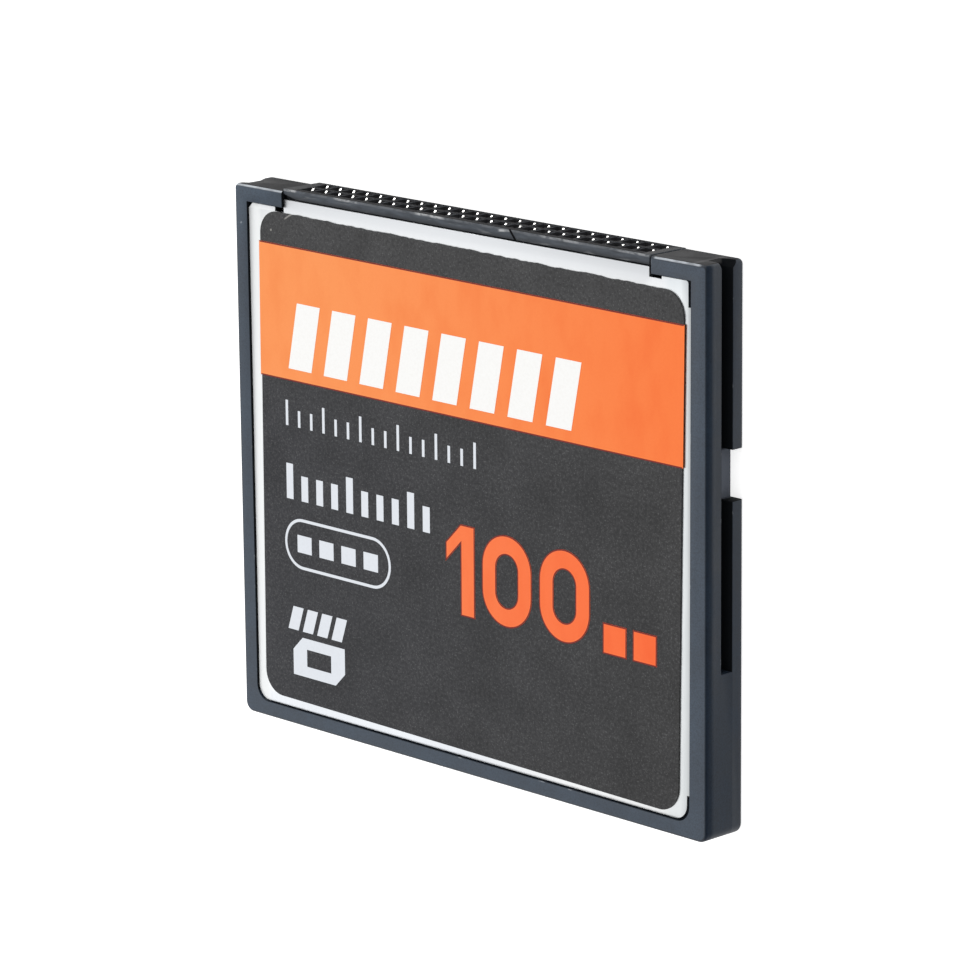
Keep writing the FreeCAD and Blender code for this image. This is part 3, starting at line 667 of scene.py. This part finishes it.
def dress(node, material):
    """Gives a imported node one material."""
    piece = frame["nodes"][node]
    piece.data.materials.clear()
    piece.data.materials.append(material)
    for polygon in piece.data.polygons:
        polygon.material_index = 0


def add_object(name, data):
    """A new object in the scene that shows a mesh, lamp or camera."""
    added = bpy.data.objects.new(name, data)
    bpy.context.scene.collection.objects.link(added)
    return added


def add_piece(name, form, materials, replaced=()):
    """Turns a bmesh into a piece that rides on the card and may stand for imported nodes."""
    mesh = bpy.data.meshes.new(name)
    form.to_mesh(mesh)
    form.free()
    piece = add_object(name, mesh)
    for material in materials:
        mesh.materials.append(material)
    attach(piece, BODY)
    if replaced:
        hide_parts(*replaced)
    return piece


def merged_copy(node, clean_faces=True):
    """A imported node's mesh, merged and, if asked, without lines across its flat faces."""
    form = bmesh.new()
    form.from_mesh(frame["nodes"][node].data)
    bmesh.ops.remove_doubles(form, verts=form.verts, dist=1e-7)
    if clean_faces:
        bmesh.ops.dissolve_limit(
            form,
            angle_limit=math.radians(0.4),
            verts=form.verts,
            edges=form.edges,
            use_dissolve_boundaries=False,
        )
    return form


def round_edges(form, width, shortest, segments=2):
    """Rounds the sharp outward edges that are longer than shortest."""
    sharp = []
    for edge in form.edges:
        if len(edge.link_faces) != 2 or edge.calc_length() < shortest:
            continue
        if edge.calc_face_angle_signed(0.0) > math.radians(50.0):
            sharp.append(edge)
    bmesh.ops.bevel(
        form,
        geom=sharp,
        offset=width,
        segments=segments,
        profile=0.5,
        affect="EDGES",
        clamp_overlap=True,
        loop_slide=True,
    )


def smooth_by_angle(piece):
    """Shades curved faces smoothly and keeps the sharp edges."""
    mesh = piece.data
    for polygon in mesh.polygons:
        polygon.use_smooth = True
    mesh.set_sharp_from_angle(angle=math.radians(SMOOTH_ANGLE))


# The front's faces lie above this height, and its strips beside the label run this far, in mm
FRONT_FACES_Z = 2.9
FOOT_STRIP, FOOT_OUTSIDE = 4.0, 3.1
FIT_HALF_WIDTH, FIT_HALF_LENGTH = 20.0, 17.0


def fit_inner_edges(form, fit, low_corner, high_corner):
    """Moves the front's inner edges by small amounts that differ from corner to corner."""
    head_left, head_right, foot_left, foot_right, foot_drop = fit
    for vert in form.verts:
        x, y, z = (length / MM for length in vert.co)
        edge = abs(x) > low_corner or y < -low_corner + FOOT_STRIP
        outside = abs(x) > high_corner or y < -high_corner + FOOT_OUTSIDE
        if z < FRONT_FACES_Z or not edge or outside:
            continue
        right = min(max((x + FIT_HALF_WIDTH) / (2 * FIT_HALF_WIDTH), 0.0), 1.0)
        up = min(max((y + FIT_HALF_LENGTH) / (2 * FIT_HALF_LENGTH), 0.0), 1.0)
        head = head_left + (head_right - head_left) * right
        foot = foot_left + (foot_right - foot_left) * right
        vert.co.x += (foot + (head - foot) * up) * MM
        vert.co.y += foot_drop * (1.0 - up) * MM


# Places in mm of the grooves' walls and of the right stop notch, whose upper end is raised
GROOVE_WALL_X, GROOVE_WALL_Z = 20.1, (0.5, 2.8)
BACK_WALL_TOP = 1.0
NOTCH_ENDS_Y, NOTCH_UPPER_END_Y, NOTCH_UPPER_RISE = (2.0, 8.0), (5.0, 7.0), 0.26
NOTCH_INNER_X = 20.2


def frame_surface(face, high):
    """Which material a face of the frame has: 0 outside, 1 on the sockets' end, 2 in a groove. 1
    and 2 are darker, duller copies of the plastic that paint shade.
    """
    middle = face.calc_center_median()
    x, y, z = (length / MM for length in middle)
    if face.normal.y > 0.9 and middle.y > high[1] - 0.3 * MM:
        return 1
    inside = abs(middle.x) < high[0] - 0.6 * MM and abs(middle.y) < high[1] - 0.1 * MM
    if inside and abs(face.normal.x) > 0.9:
        return 2
    groove = abs(x) > GROOVE_WALL_X and GROOVE_WALL_Z[0] < z < GROOVE_WALL_Z[1]
    if groove and abs(face.normal.z) > 0.5:
        return 2
    notch = x > GROOVE_WALL_X and z < BACK_WALL_TOP and NOTCH_ENDS_Y[0] < y < NOTCH_ENDS_Y[1]
    return 2 if notch and abs(face.normal.y) > 0.9 else 0


def raise_notch(form):
    """Moves the upper end of the right groove's stop notch."""
    low, high = NOTCH_UPPER_END_Y
    for vert in form.verts:
        x, y, z = (length / MM for length in vert.co)
        if x > NOTCH_INNER_X and z < BACK_WALL_TOP and low < y < high:
            vert.co.y += NOTCH_UPPER_RISE * MM


class CARD_OT_frame(bpy.types.Operator):
    """Moulded frame with rounded edges, a satin grain and rubbed places"""

    bl_idname = "card.frame"
    bl_label = "Moulded frame"

    def execute(self, context):
        settings = context.scene.card.frame
        form = merged_copy("frame")
        low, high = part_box("frame")
        for face in form.faces:
            face.material_index = frame_surface(face, high)
        raise_notch(form)
        fit_inner_edges(form, INNER_FIT, *INNER_STRIP)
        round_edges(form, settings.edge_round, 0.3 * MM)
        # The end's faces and the grooves' faces get darker, duller copies of the plastic: painted
        # shade.
        end_shade, groove_shade = (0.028, 0.028, 0.03), (0.006, 0.007, 0.008)
        end = shaded_dull_plastic("frame_end_shade_plastic", settings.end_shade_colour, end_shade, 0.2, 0.7)
        groove = shaded_dull_plastic("groove_shade_plastic", settings.shade_colour, groove_shade, 0.04, 0.65)
        materials = [frame_plastic(settings), end, groove]
        smooth_by_angle(add_piece("moulded_frame", form, materials, ["frame"]))
        return {"FINISHED"}


# The head of the front cover, in mm: where it starts, its slots' sides, feet and deepening
COVER_HEAD_Y, COVER_SLOT_OUTER_X = 16.4, 18.0
COVER_SLOT_SIDES, COVER_SLOT_SHIFT = (-16.63, 16.55), 0.1
LEFT_SLOT_FOOT_Y, LEFT_SLOT_DEEPER = 16.8, 0.1
RIGHT_SLOT_FOOT_Y, RIGHT_SLOT_DEEPER = 16.96, 0.03
COVER_CORNER_X, COVER_CORNER_DROP = 19.9, 0.2


def trim_cover_head(form):
    """Deepens the cover's relief slots beside the arms and moves its tab and its cut corner."""
    for vert in form.verts:
        x, y, z = (length / MM for length in vert.co)
        if z < FRONT_FACES_Z or y < COVER_HEAD_Y:
            continue
        if any(abs(x - side) < 0.05 for side in COVER_SLOT_SIDES):
            vert.co.x -= COVER_SLOT_SHIFT * MM
        if -COVER_SLOT_OUTER_X < x < 0 and y < LEFT_SLOT_FOOT_Y:
            vert.co.y -= LEFT_SLOT_DEEPER * MM
        if 0 < x < COVER_SLOT_OUTER_X and y < RIGHT_SLOT_FOOT_Y:
            vert.co.y -= RIGHT_SLOT_DEEPER * MM
        if x > COVER_CORNER_X:
            vert.co.y -= COVER_CORNER_DROP * MM


class CARD_OT_covers(bpy.types.Operator):
    """Pressed steel covers with softly rounded edges"""

    bl_idname = "card.covers"
    bl_label = "Steel covers"

    def execute(self, context):
        settings = context.scene.card.cover
        steel = cover_steel(settings)
        covers = {"front_cover": "pressed_front_cover", "back_cover": "pressed_back_cover"}
        for node, name in covers.items():
            form = merged_copy(node)
            if node == "front_cover":
                fit_inner_edges(form, INNER_FIT, *INNER_STRIP)
                trim_cover_head(form)
            round_edges(form, settings.edge_round, 0.12 * MM)
            smooth_by_angle(add_piece(name, form, [steel], [node]))
        return {"FINISHED"}


EDGE_SEED = 11
EDGE_BAND = 1.0 * MM
EDGE_LEAST = 10 * MM
STRAY_KEPT = 0.55


def ragged_film(outline, low, high, settings):
    """Film with the given outline, whose upper edge strays a little as torn film does."""
    strays = random.Random(EDGE_SEED)
    points = []
    top = max(point.y for point in outline)
    for index, point in enumerate(outline):
        after = outline[(index + 1) % len(outline)]
        points.append(point)
        run = after - point
        if min(point.y, after.y) < top - EDGE_BAND or run.length < EDGE_LEAST:
            continue
        count = int(run.length / settings.step)
        side = Vector((-run.y, run.x)).normalized()
        stray = 0.0
        for number in range(1, count):
            stray = STRAY_KEPT * stray + strays.uniform(-settings.ragged, settings.ragged)
            points.append(point + run * (number / count) + side * stray)
    form = bmesh.new()
    lower = [form.verts.new((point.x, point.y, low)) for point in points]
    upper = [form.verts.new((point.x, point.y, high)) for point in points]
    form.faces.new(upper)
    form.faces.new(list(reversed(lower)))
    for index in range(len(points)):
        after = (index + 1) % len(points)
        form.faces.new((lower[index], lower[after], upper[after], upper[index]))
    return form


def top_outline(node):
    """Corners of a thin flat node's upper face, counter-clockwise."""
    form = merged_copy(node)
    face = max(form.faces, key=lambda item: item.normal.z * item.calc_area())
    corners = [Vector((vert.co.x, vert.co.y)) for vert in face.verts]
    form.free()
    return corners


def rimmed_copy(node, rim):
    """Copy of a print node whose upper faces have a rim of the second material."""
    form = merged_copy(node, clean_faces=False)
    upper = [face for face in form.faces if face.normal.z > 0.9]
    made = bmesh.ops.inset_region(
        form, faces=upper, thickness=rim, use_boundary=True, use_even_offset=True
    )
    for face in made["faces"]:
        face.material_index = 1
    return form


def lift_upper_edge(form, left_lift, right_lift):
    """Raises the upper edge of a band that runs across the card."""
    left = min(vert.co.x for vert in form.verts)
    right = max(vert.co.x for vert in form.verts)
    middle = sum(vert.co.y for vert in form.verts) / len(form.verts)
    for vert in form.verts:
        if vert.co.y > middle:
            share = (vert.co.x - left) / (right - left)
            vert.co.y += left_lift + (right_lift - left_lift) * share


END_DEPTH = 0.5 * MM


def bleed_ends(form, bleed):
    """Runs a band's ends out to the label's edges, without a rim there."""
    left = min(vert.co.x for vert in form.verts)
    right = max(vert.co.x for vert in form.verts)
    for face in form.faces:
        rows = [vert.co.y for vert in face.verts]
        columns = [vert.co.x for vert in face.verts]
        if face.material_index == 1 and max(rows) - min(rows) > max(columns) - min(columns):
            face.material_index = 0
    for vert in form.verts:
        if vert.co.x < left + END_DEPTH:
            vert.co.x -= bleed
        elif vert.co.x > right - END_DEPTH:
            vert.co.x += bleed


# Node, piece and what multiplies the orange of each orange print
ORANGE_PRINTS = (
    ("label_band", "printed_band", (1.0, 1.0, 1.0)),
    ("orange_print", "printed_number", (1.0, 0.74, 0.8)),
)
RIM_SHADE = (0.10, 0.012, 0.010)


class CARD_OT_label(bpy.types.Operator):
    """Dark label film with its cut edge, and the inks printed on it"""

    bl_idname = "card.label"
    bl_label = "Label and print"

    def execute(self, context):
        settings = context.scene.card.label
        low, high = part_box("label")
        film = ragged_film(top_outline("label"), low[2], high[2], settings)
        fit_inner_edges(film, LABEL_FIT, *WHOLE_FRONT)
        add_piece("cut_label", film, [label_film(settings)], ["label"])
        rim = inked(Finish("ink_rim", specular=0.25), settings.rim_colour, RIM_SHADE)
        for node, name, depth in ORANGE_PRINTS:
            orange = orange_ink(name + "_ink", settings, depth)
            form = rimmed_copy(node, settings.rim)
            fit_inner_edges(form, LABEL_FIT, *WHOLE_FRONT)
            if node == "label_band":
                lift_upper_edge(form, settings.left_lift, settings.right_lift)
                bleed_ends(form, settings.bleed)
            add_piece(name, form, [orange, rim], [node])
        band_low, band_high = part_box("label_band")
        dress("white_print", white_ink(settings, band_low[1] / MM))
        return {"FINISHED"}


def contact_row_tree():
    """Geometry nodes that set one contact along a line of sockets."""
    tree = bpy.data.node_groups.new("socket_contacts", "GeometryNodeTree")
    new, link = tree.nodes.new, tree.links.new
    inputs = {"Contact": "Geometry", "Count": "Int", "Pitch": "Float", "Plating": "Material"}
    for name, kind in inputs.items():
        tree.interface.new_socket(name, in_out="INPUT", socket_type="NodeSocket" + kind)
    tree.interface.new_socket("Contacts", in_out="OUTPUT", socket_type="NodeSocketGeometry")
    given = new("NodeGroupInput")
    result = new("NodeGroupOutput")
    line = new("GeometryNodeMeshLine")
    offset = new("ShaderNodeCombineXYZ")
    placed = new("GeometryNodeInstanceOnPoints")
    real = new("GeometryNodeRealizeInstances")
    plated = new("GeometryNodeSetMaterial")
    link(given.outputs["Count"], line.inputs["Count"])
    link(given.outputs["Pitch"], offset.inputs["X"])
    link(offset.outputs[0], line.inputs["Offset"])
    link(line.outputs[0], placed.inputs["Points"])
    link(given.outputs["Contact"], placed.inputs["Instance"])
    link(placed.outputs[0], real.inputs[0])
    link(real.outputs[0], plated.inputs["Geometry"])
    link(given.outputs["Plating"], plated.inputs["Material"])
    link(plated.outputs[0], result.inputs["Contacts"])
    return tree


TIP_LENGTH = 0.3 * MM
TIP_SHIFT = 0.08 * MM
HALF_ROW = 15.24 * MM


def first_contact(node, slant, tip_width):
    """A row's leftmost contact with its tip narrowed and cut on a slant, and the row's pitch."""
    form = merged_copy(node)
    low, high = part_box(node)
    places = sorted({round(vert.co.x, 7) for vert in form.verts})
    width = places[1] - places[0]
    pitch = (high[0] - low[0] - width) / (SOCKETS_PER_ROW - 1)
    spare = [vert for vert in form.verts if vert.co.x > low[0] + pitch / 2]
    bmesh.ops.delete(form, geom=spare, context="VERTS")
    tip = [vert for vert in form.verts if vert.co.y > high[1] - 0.001 * MM]
    front = max(vert.co.z for vert in tip)
    centre = low[0] + width / 2
    for vert in tip:
        vert.co.x = centre + math.copysign(tip_width / 2, vert.co.x - centre)
        if vert.co.z > front - 0.01 * MM:
            vert.co.y -= slant
    return form, pitch


def set_contacts(node, name, tree, material, settings):
    """Row of slanted contacts in place of a packed row."""
    form, pitch = first_contact(node, settings.tip_slant, settings.tip_width)
    mesh = bpy.data.meshes.new("one_contact")
    form.to_mesh(mesh)
    form.free()
    maker = add_object("contact_maker", mesh)
    modifier = maker.modifiers.new("row", "NODES")
    modifier.node_group = tree
    values = {"Count": SOCKETS_PER_ROW, "Pitch": pitch, "Plating": material}
    for item in tree.interface.items_tree:
        if item.name in values:
            modifier[item.identifier] = values[item.name]
    shape = maker.evaluated_get(bpy.context.evaluated_depsgraph_get())
    row = bpy.data.meshes.new_from_object(shape)
    head = max(vert.co.y for vert in row.vertices)
    for vert in row.vertices:
        if vert.co.y > head - TIP_LENGTH:
            vert.co.x += settings.tip_lean * vert.co.x / HALF_ROW + TIP_SHIFT
    maker.modifiers.remove(modifier)
    bpy.data.objects.remove(maker)
    piece = add_object(name, row)
    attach(piece, BODY)
    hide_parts(node)


# The lip's place in mm, and how far it and the slit in it are moved across
LIP_Z, LIP_Y, LIP_SHIFT = 2.95, 17.4, -0.1
SLIT_X, SLIT_SHIFT = (2.8, 4.5), 0.98
SOCKET_DEPTH = 4.5 * MM
SOCKET_FACE_MOST = 4 * MM * MM


def shift_lip(form):
    """Moves the connector's lip a little to the left and the slit in it to the right."""
    for vert in form.verts:
        x, y, z = (length / MM for length in vert.co)
        if z > LIP_Z and y > LIP_Y:
            vert.co.x += (SLIT_SHIFT if SLIT_X[0] < x < SLIT_X[1] else LIP_SHIFT) * MM


class CARD_OT_connector(bpy.types.Operator):
    """Socket connector with rounded edges, and its plated contacts"""

    bl_idname = "card.connector"
    bl_label = "Socket connector"

    def execute(self, context):
        settings = context.scene.card.connector
        form = merged_copy("connector_body")
        low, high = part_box("connector_body")
        for face in form.faces:
            # The sockets' end and the small faces in the holes take the socket plastic: painted
            # shade.
            near_end = face.calc_center_median().y > high[1] - SOCKET_DEPTH
            if face.normal.y > 0.5 or (near_end and face.calc_area() < SOCKET_FACE_MOST):
                face.material_index = 1
        shift_lip(form)
        round_edges(form, settings.edge_round, 0.5 * MM, 1)
        materials = [connector_plastic(settings), socket_shade_plastic(settings)]
        moulding = add_piece("socket_moulding", form, materials, ["connector_body"])
        smooth_by_angle(moulding)
        bright = plating("contact_plating", settings.plating)
        tree = contact_row_tree()
        set_contacts("contacts_front", "front_contacts", tree, bright, settings)
        set_contacts("contacts_back", "rear_contacts", tree, bright, settings)
        return {"FINISHED"}


# Colour, shade and roughness of each moulded or fired part
CHIP_RESIN = ((0.018, 0.018, 0.02), (0.034, 0.034, 0.036), 0.5)
CRYSTAL_CERAMIC = ((0.10, 0.09, 0.08), (0.05, 0.045, 0.04), 0.6)
CAPACITOR_CERAMIC = ((0.36, 0.24, 0.15), (0.25, 0.16, 0.1), 0.5)
RESISTOR_CERAMIC = ((0.03, 0.03, 0.033), (0.06, 0.06, 0.063), 0.45)
# Colour and roughness of each metal
LEAD_TIN = ((0.66, 0.67, 0.68), 0.34)
CRYSTAL_STEEL = ((0.74, 0.74, 0.73), 0.28)


class CARD_OT_electronics(bpy.types.Operator):
    """Circuit board inside the card and the parts that it carries"""

    bl_idname = "card.electronics"
    bl_label = "Circuit board and parts"

    def execute(self, context):
        tin = plating("lead_tin", *LEAD_TIN)
        resin = moulded("chip_resin", *CHIP_RESIN)
        dress("circuit_board", board_laminate())
        for chip in ("memory", "controller", "regulator"):
            dress(chip + "_package", resin)
            dress(chip + "_leads", tin)
        for row in ("capacitor", "resistor"):
            dress(row + "_ends", tin)
        dress("crystal_base", moulded("crystal_ceramic", *CRYSTAL_CERAMIC))
        dress("crystal_lid", plating("crystal_steel", *CRYSTAL_STEEL))
        dress("capacitor_bodies", moulded("capacitor_ceramic", *CAPACITOR_CERAMIC))
        dress("resistor_bodies", moulded("resistor_ceramic", *RESISTOR_CERAMIC))
        return {"FINISHED"}


# The camera stands at a place in mm, and its own directions are given along X, Y and Z
CAMERA_PLACE = (218.8909, 75.1885, 213.6328)
CAMERA_RIGHT = (0.69870566, -0.00932719, -0.71534845)
CAMERA_UP = (-0.16408628, 0.9711696, -0.17293153)
CAMERA_FORWARD = (-0.69633763, -0.23820711, -0.67703122)
CAMERA_LENS = 179.816
CAMERA_SENSOR = 36.0
CAMERA_RANGE = (0.01, 10.0)
FLOOR_HALF_SIDE = 1.5
FLOOR_GAP = 0.01 * MM
# Direction of the room's dark side, and the angles at which it starts to fade and ends
DARK_SIDE = (0.70, -0.14, 0.70)
DARK_SIDE_INNER = 22.0
DARK_SIDE_OUTER = 42.0
# Place and side of each square lamp, in metres. Both point at the card
KEY_LAMP = ((-0.35, -0.12, 0.335), 0.35)
TOP_LAMP = ((-0.35, 0.335, 0.14), 0.14)


def seen_rays(tree):
    """Socket that is 1 for camera, glossy and transmission rays."""
    new, link = tree.nodes.new, tree.links.new
    path = new("ShaderNodeLightPath")
    first = new("ShaderNodeMath")
    first.operation = "MAXIMUM"
    second = new("ShaderNodeMath")
    second.operation = "MAXIMUM"
    link(path.outputs["Is Camera Ray"], first.inputs[0])
    link(path.outputs["Is Glossy Ray"], first.inputs[1])
    link(first.outputs[0], second.inputs[0])
    link(path.outputs["Is Transmission Ray"], second.inputs[1])
    return second.outputs[0]


def floor_finish(settings):
    """Pale floor that the camera sees as white and that keeps the card's shadow."""
    material = bpy.data.materials.new("pale_floor")
    material.use_nodes = True
    tree = material.node_tree
    new, link = tree.nodes.new, tree.links.new
    tree.nodes.clear()
    output = new("ShaderNodeOutputMaterial")
    matt = new("ShaderNodeBsdfDiffuse")
    matt.inputs["Color"].default_value = (*settings.floor_colour, 1.0)
    glow = new("ShaderNodeEmission")
    lift = new("ShaderNodeMath")
    lift.operation = "MULTIPLY"
    lift.inputs[1].default_value = settings.floor_lift
    link(seen_rays(tree), lift.inputs[0])
    link(lift.outputs[0], glow.inputs["Strength"])
    both = new("ShaderNodeAddShader")
    link(matt.outputs[0], both.inputs[0])
    link(glow.outputs[0], both.inputs[1])
    link(both.outputs[0], output.inputs["Surface"])
    return material


def light_world(settings):
    """Soft even light. Reflections show white all round but for the dark room on one side."""
    world = bpy.data.worlds.new("studio")
    bpy.context.scene.world = world
    world.use_nodes = True
    tree = world.node_tree
    new, link = tree.nodes.new, tree.links.new
    background = tree.nodes["Background"]
    background.inputs["Color"].default_value = (1.0, 1.0, 1.0, 1.0)
    path = new("ShaderNodeLightPath")
    place = new("ShaderNodeTexCoord")
    nearness = new("ShaderNodeVectorMath")
    nearness.operation = "DOT_PRODUCT"
    nearness.inputs[1].default_value = DARK_SIDE
    link(place.outputs["Generated"], nearness.inputs[0])
    shade = new("ShaderNodeMapRange")
    shade.inputs["From Min"].default_value = math.cos(math.radians(DARK_SIDE_OUTER))
    shade.inputs["From Max"].default_value = math.cos(math.radians(DARK_SIDE_INNER))
    shade.inputs["To Min"].default_value = 1.0
    shade.inputs["To Max"].default_value = settings.camera_shade
    link(nearness.outputs["Value"], shade.inputs["Value"])
    plain = new("ShaderNodeMapRange")
    plain.inputs["To Min"].default_value = settings.ambient
    plain.inputs["To Max"].default_value = 1.0
    link(seen_rays(tree), plain.inputs["Value"])
    mirrored = new("ShaderNodeMix")
    mirrored.data_type = "FLOAT"
    link(path.outputs["Is Glossy Ray"], mirrored.inputs["Factor"])
    link(plain.outputs[0], mirrored.inputs[2])
    link(shade.outputs[0], mirrored.inputs[3])
    link(mirrored.outputs[0], background.inputs["Strength"])
    world.cycles.sampling_method = "NONE"


def add_lamp(name, place, side, power):
    """Square lamp that points at the card's middle."""
    lamp = bpy.data.lights.new(name, "AREA")
    lamp.shape = "SQUARE"
    lamp.size = side
    lamp.energy = power
    holder = add_object(name, lamp)
    turn = (-Vector(place)).to_track_quat("-Z", "Y").to_matrix().to_4x4()
    holder.matrix_world = Matrix.Translation(Vector(place)) @ turn


def add_camera():
    camera = bpy.data.cameras.new("camera")
    camera.lens = CAMERA_LENS
    camera.sensor_width = CAMERA_SENSOR
    camera.clip_start, camera.clip_end = CAMERA_RANGE
    holder = add_object("camera", camera)
    turn = Matrix((CAMERA_RIGHT, CAMERA_UP, tuple(-c for c in CAMERA_FORWARD))).transposed()
    place = Vector(CAMERA_PLACE) * MM
    holder.matrix_world = Matrix.Translation(place) @ turn.to_4x4()
    bpy.context.scene.camera = holder


class CARD_OT_stage(bpy.types.Operator):
    """Plain pale floor, soft light and the photograph's camera"""

    bl_idname = "card.stage"
    bl_label = "Floor, light and camera"

    def execute(self, context):
        settings = context.scene.card.stage
        context.scene.view_settings.view_transform = "Standard"
        form = bmesh.new()
        bmesh.ops.create_grid(form, x_segments=1, y_segments=1, size=FLOOR_HALF_SIDE)
        bmesh.ops.translate(form, verts=form.verts, vec=(0.0, 0.0, -FLOOR_GAP))
        mesh = bpy.data.meshes.new("floor")
        form.to_mesh(mesh)
        form.free()
        mesh.materials.append(floor_finish(settings))
        floor = add_object("floor", mesh)
        light_world(settings)
        add_lamp("key_lamp", *KEY_LAMP, settings.key_power)
        add_lamp("top_lamp", *TOP_LAMP, settings.top_power)
        add_camera()
        return {"FINISHED"}


OPERATORS = (
    CARD_OT_frame,
    CARD_OT_covers,
    CARD_OT_label,
    CARD_OT_connector,
    CARD_OT_electronics,
    CARD_OT_stage,
)


class CARD_PT_panel(bpy.types.Panel):
    """Lists the steps that build the card."""

    bl_idname = "CARD_PT_panel"
    bl_label = "Memory card"
    bl_space_type = "VIEW_3D"
    bl_region_type = "UI"
    bl_category = "Memory card"

    def draw(self, context):
        for operator in OPERATORS:
            self.layout.operator(operator.bl_idname)


CLASSES = (
    FrameSettings,
    CoverSettings,
    LabelSettings,
    ConnectorSettings,
    StageSettings,
    CardSettings,
    *OPERATORS,
    CARD_PT_panel,
)


def register():
    for item in CLASSES:
        bpy.utils.register_class(item)
    bpy.types.Scene.card = PointerProperty(type=CardSettings)


def unregister():
    del bpy.types.Scene.card
    for item in reversed(CLASSES):
        bpy.utils.unregister_class(item)


def main():
    register()
    bpy.ops.card.frame()
    bpy.ops.card.covers()
    bpy.ops.card.label()
    bpy.ops.card.connector()
    bpy.ops.card.electronics()
    bpy.ops.card.stage()


if __name__ == "__main__":
    main()
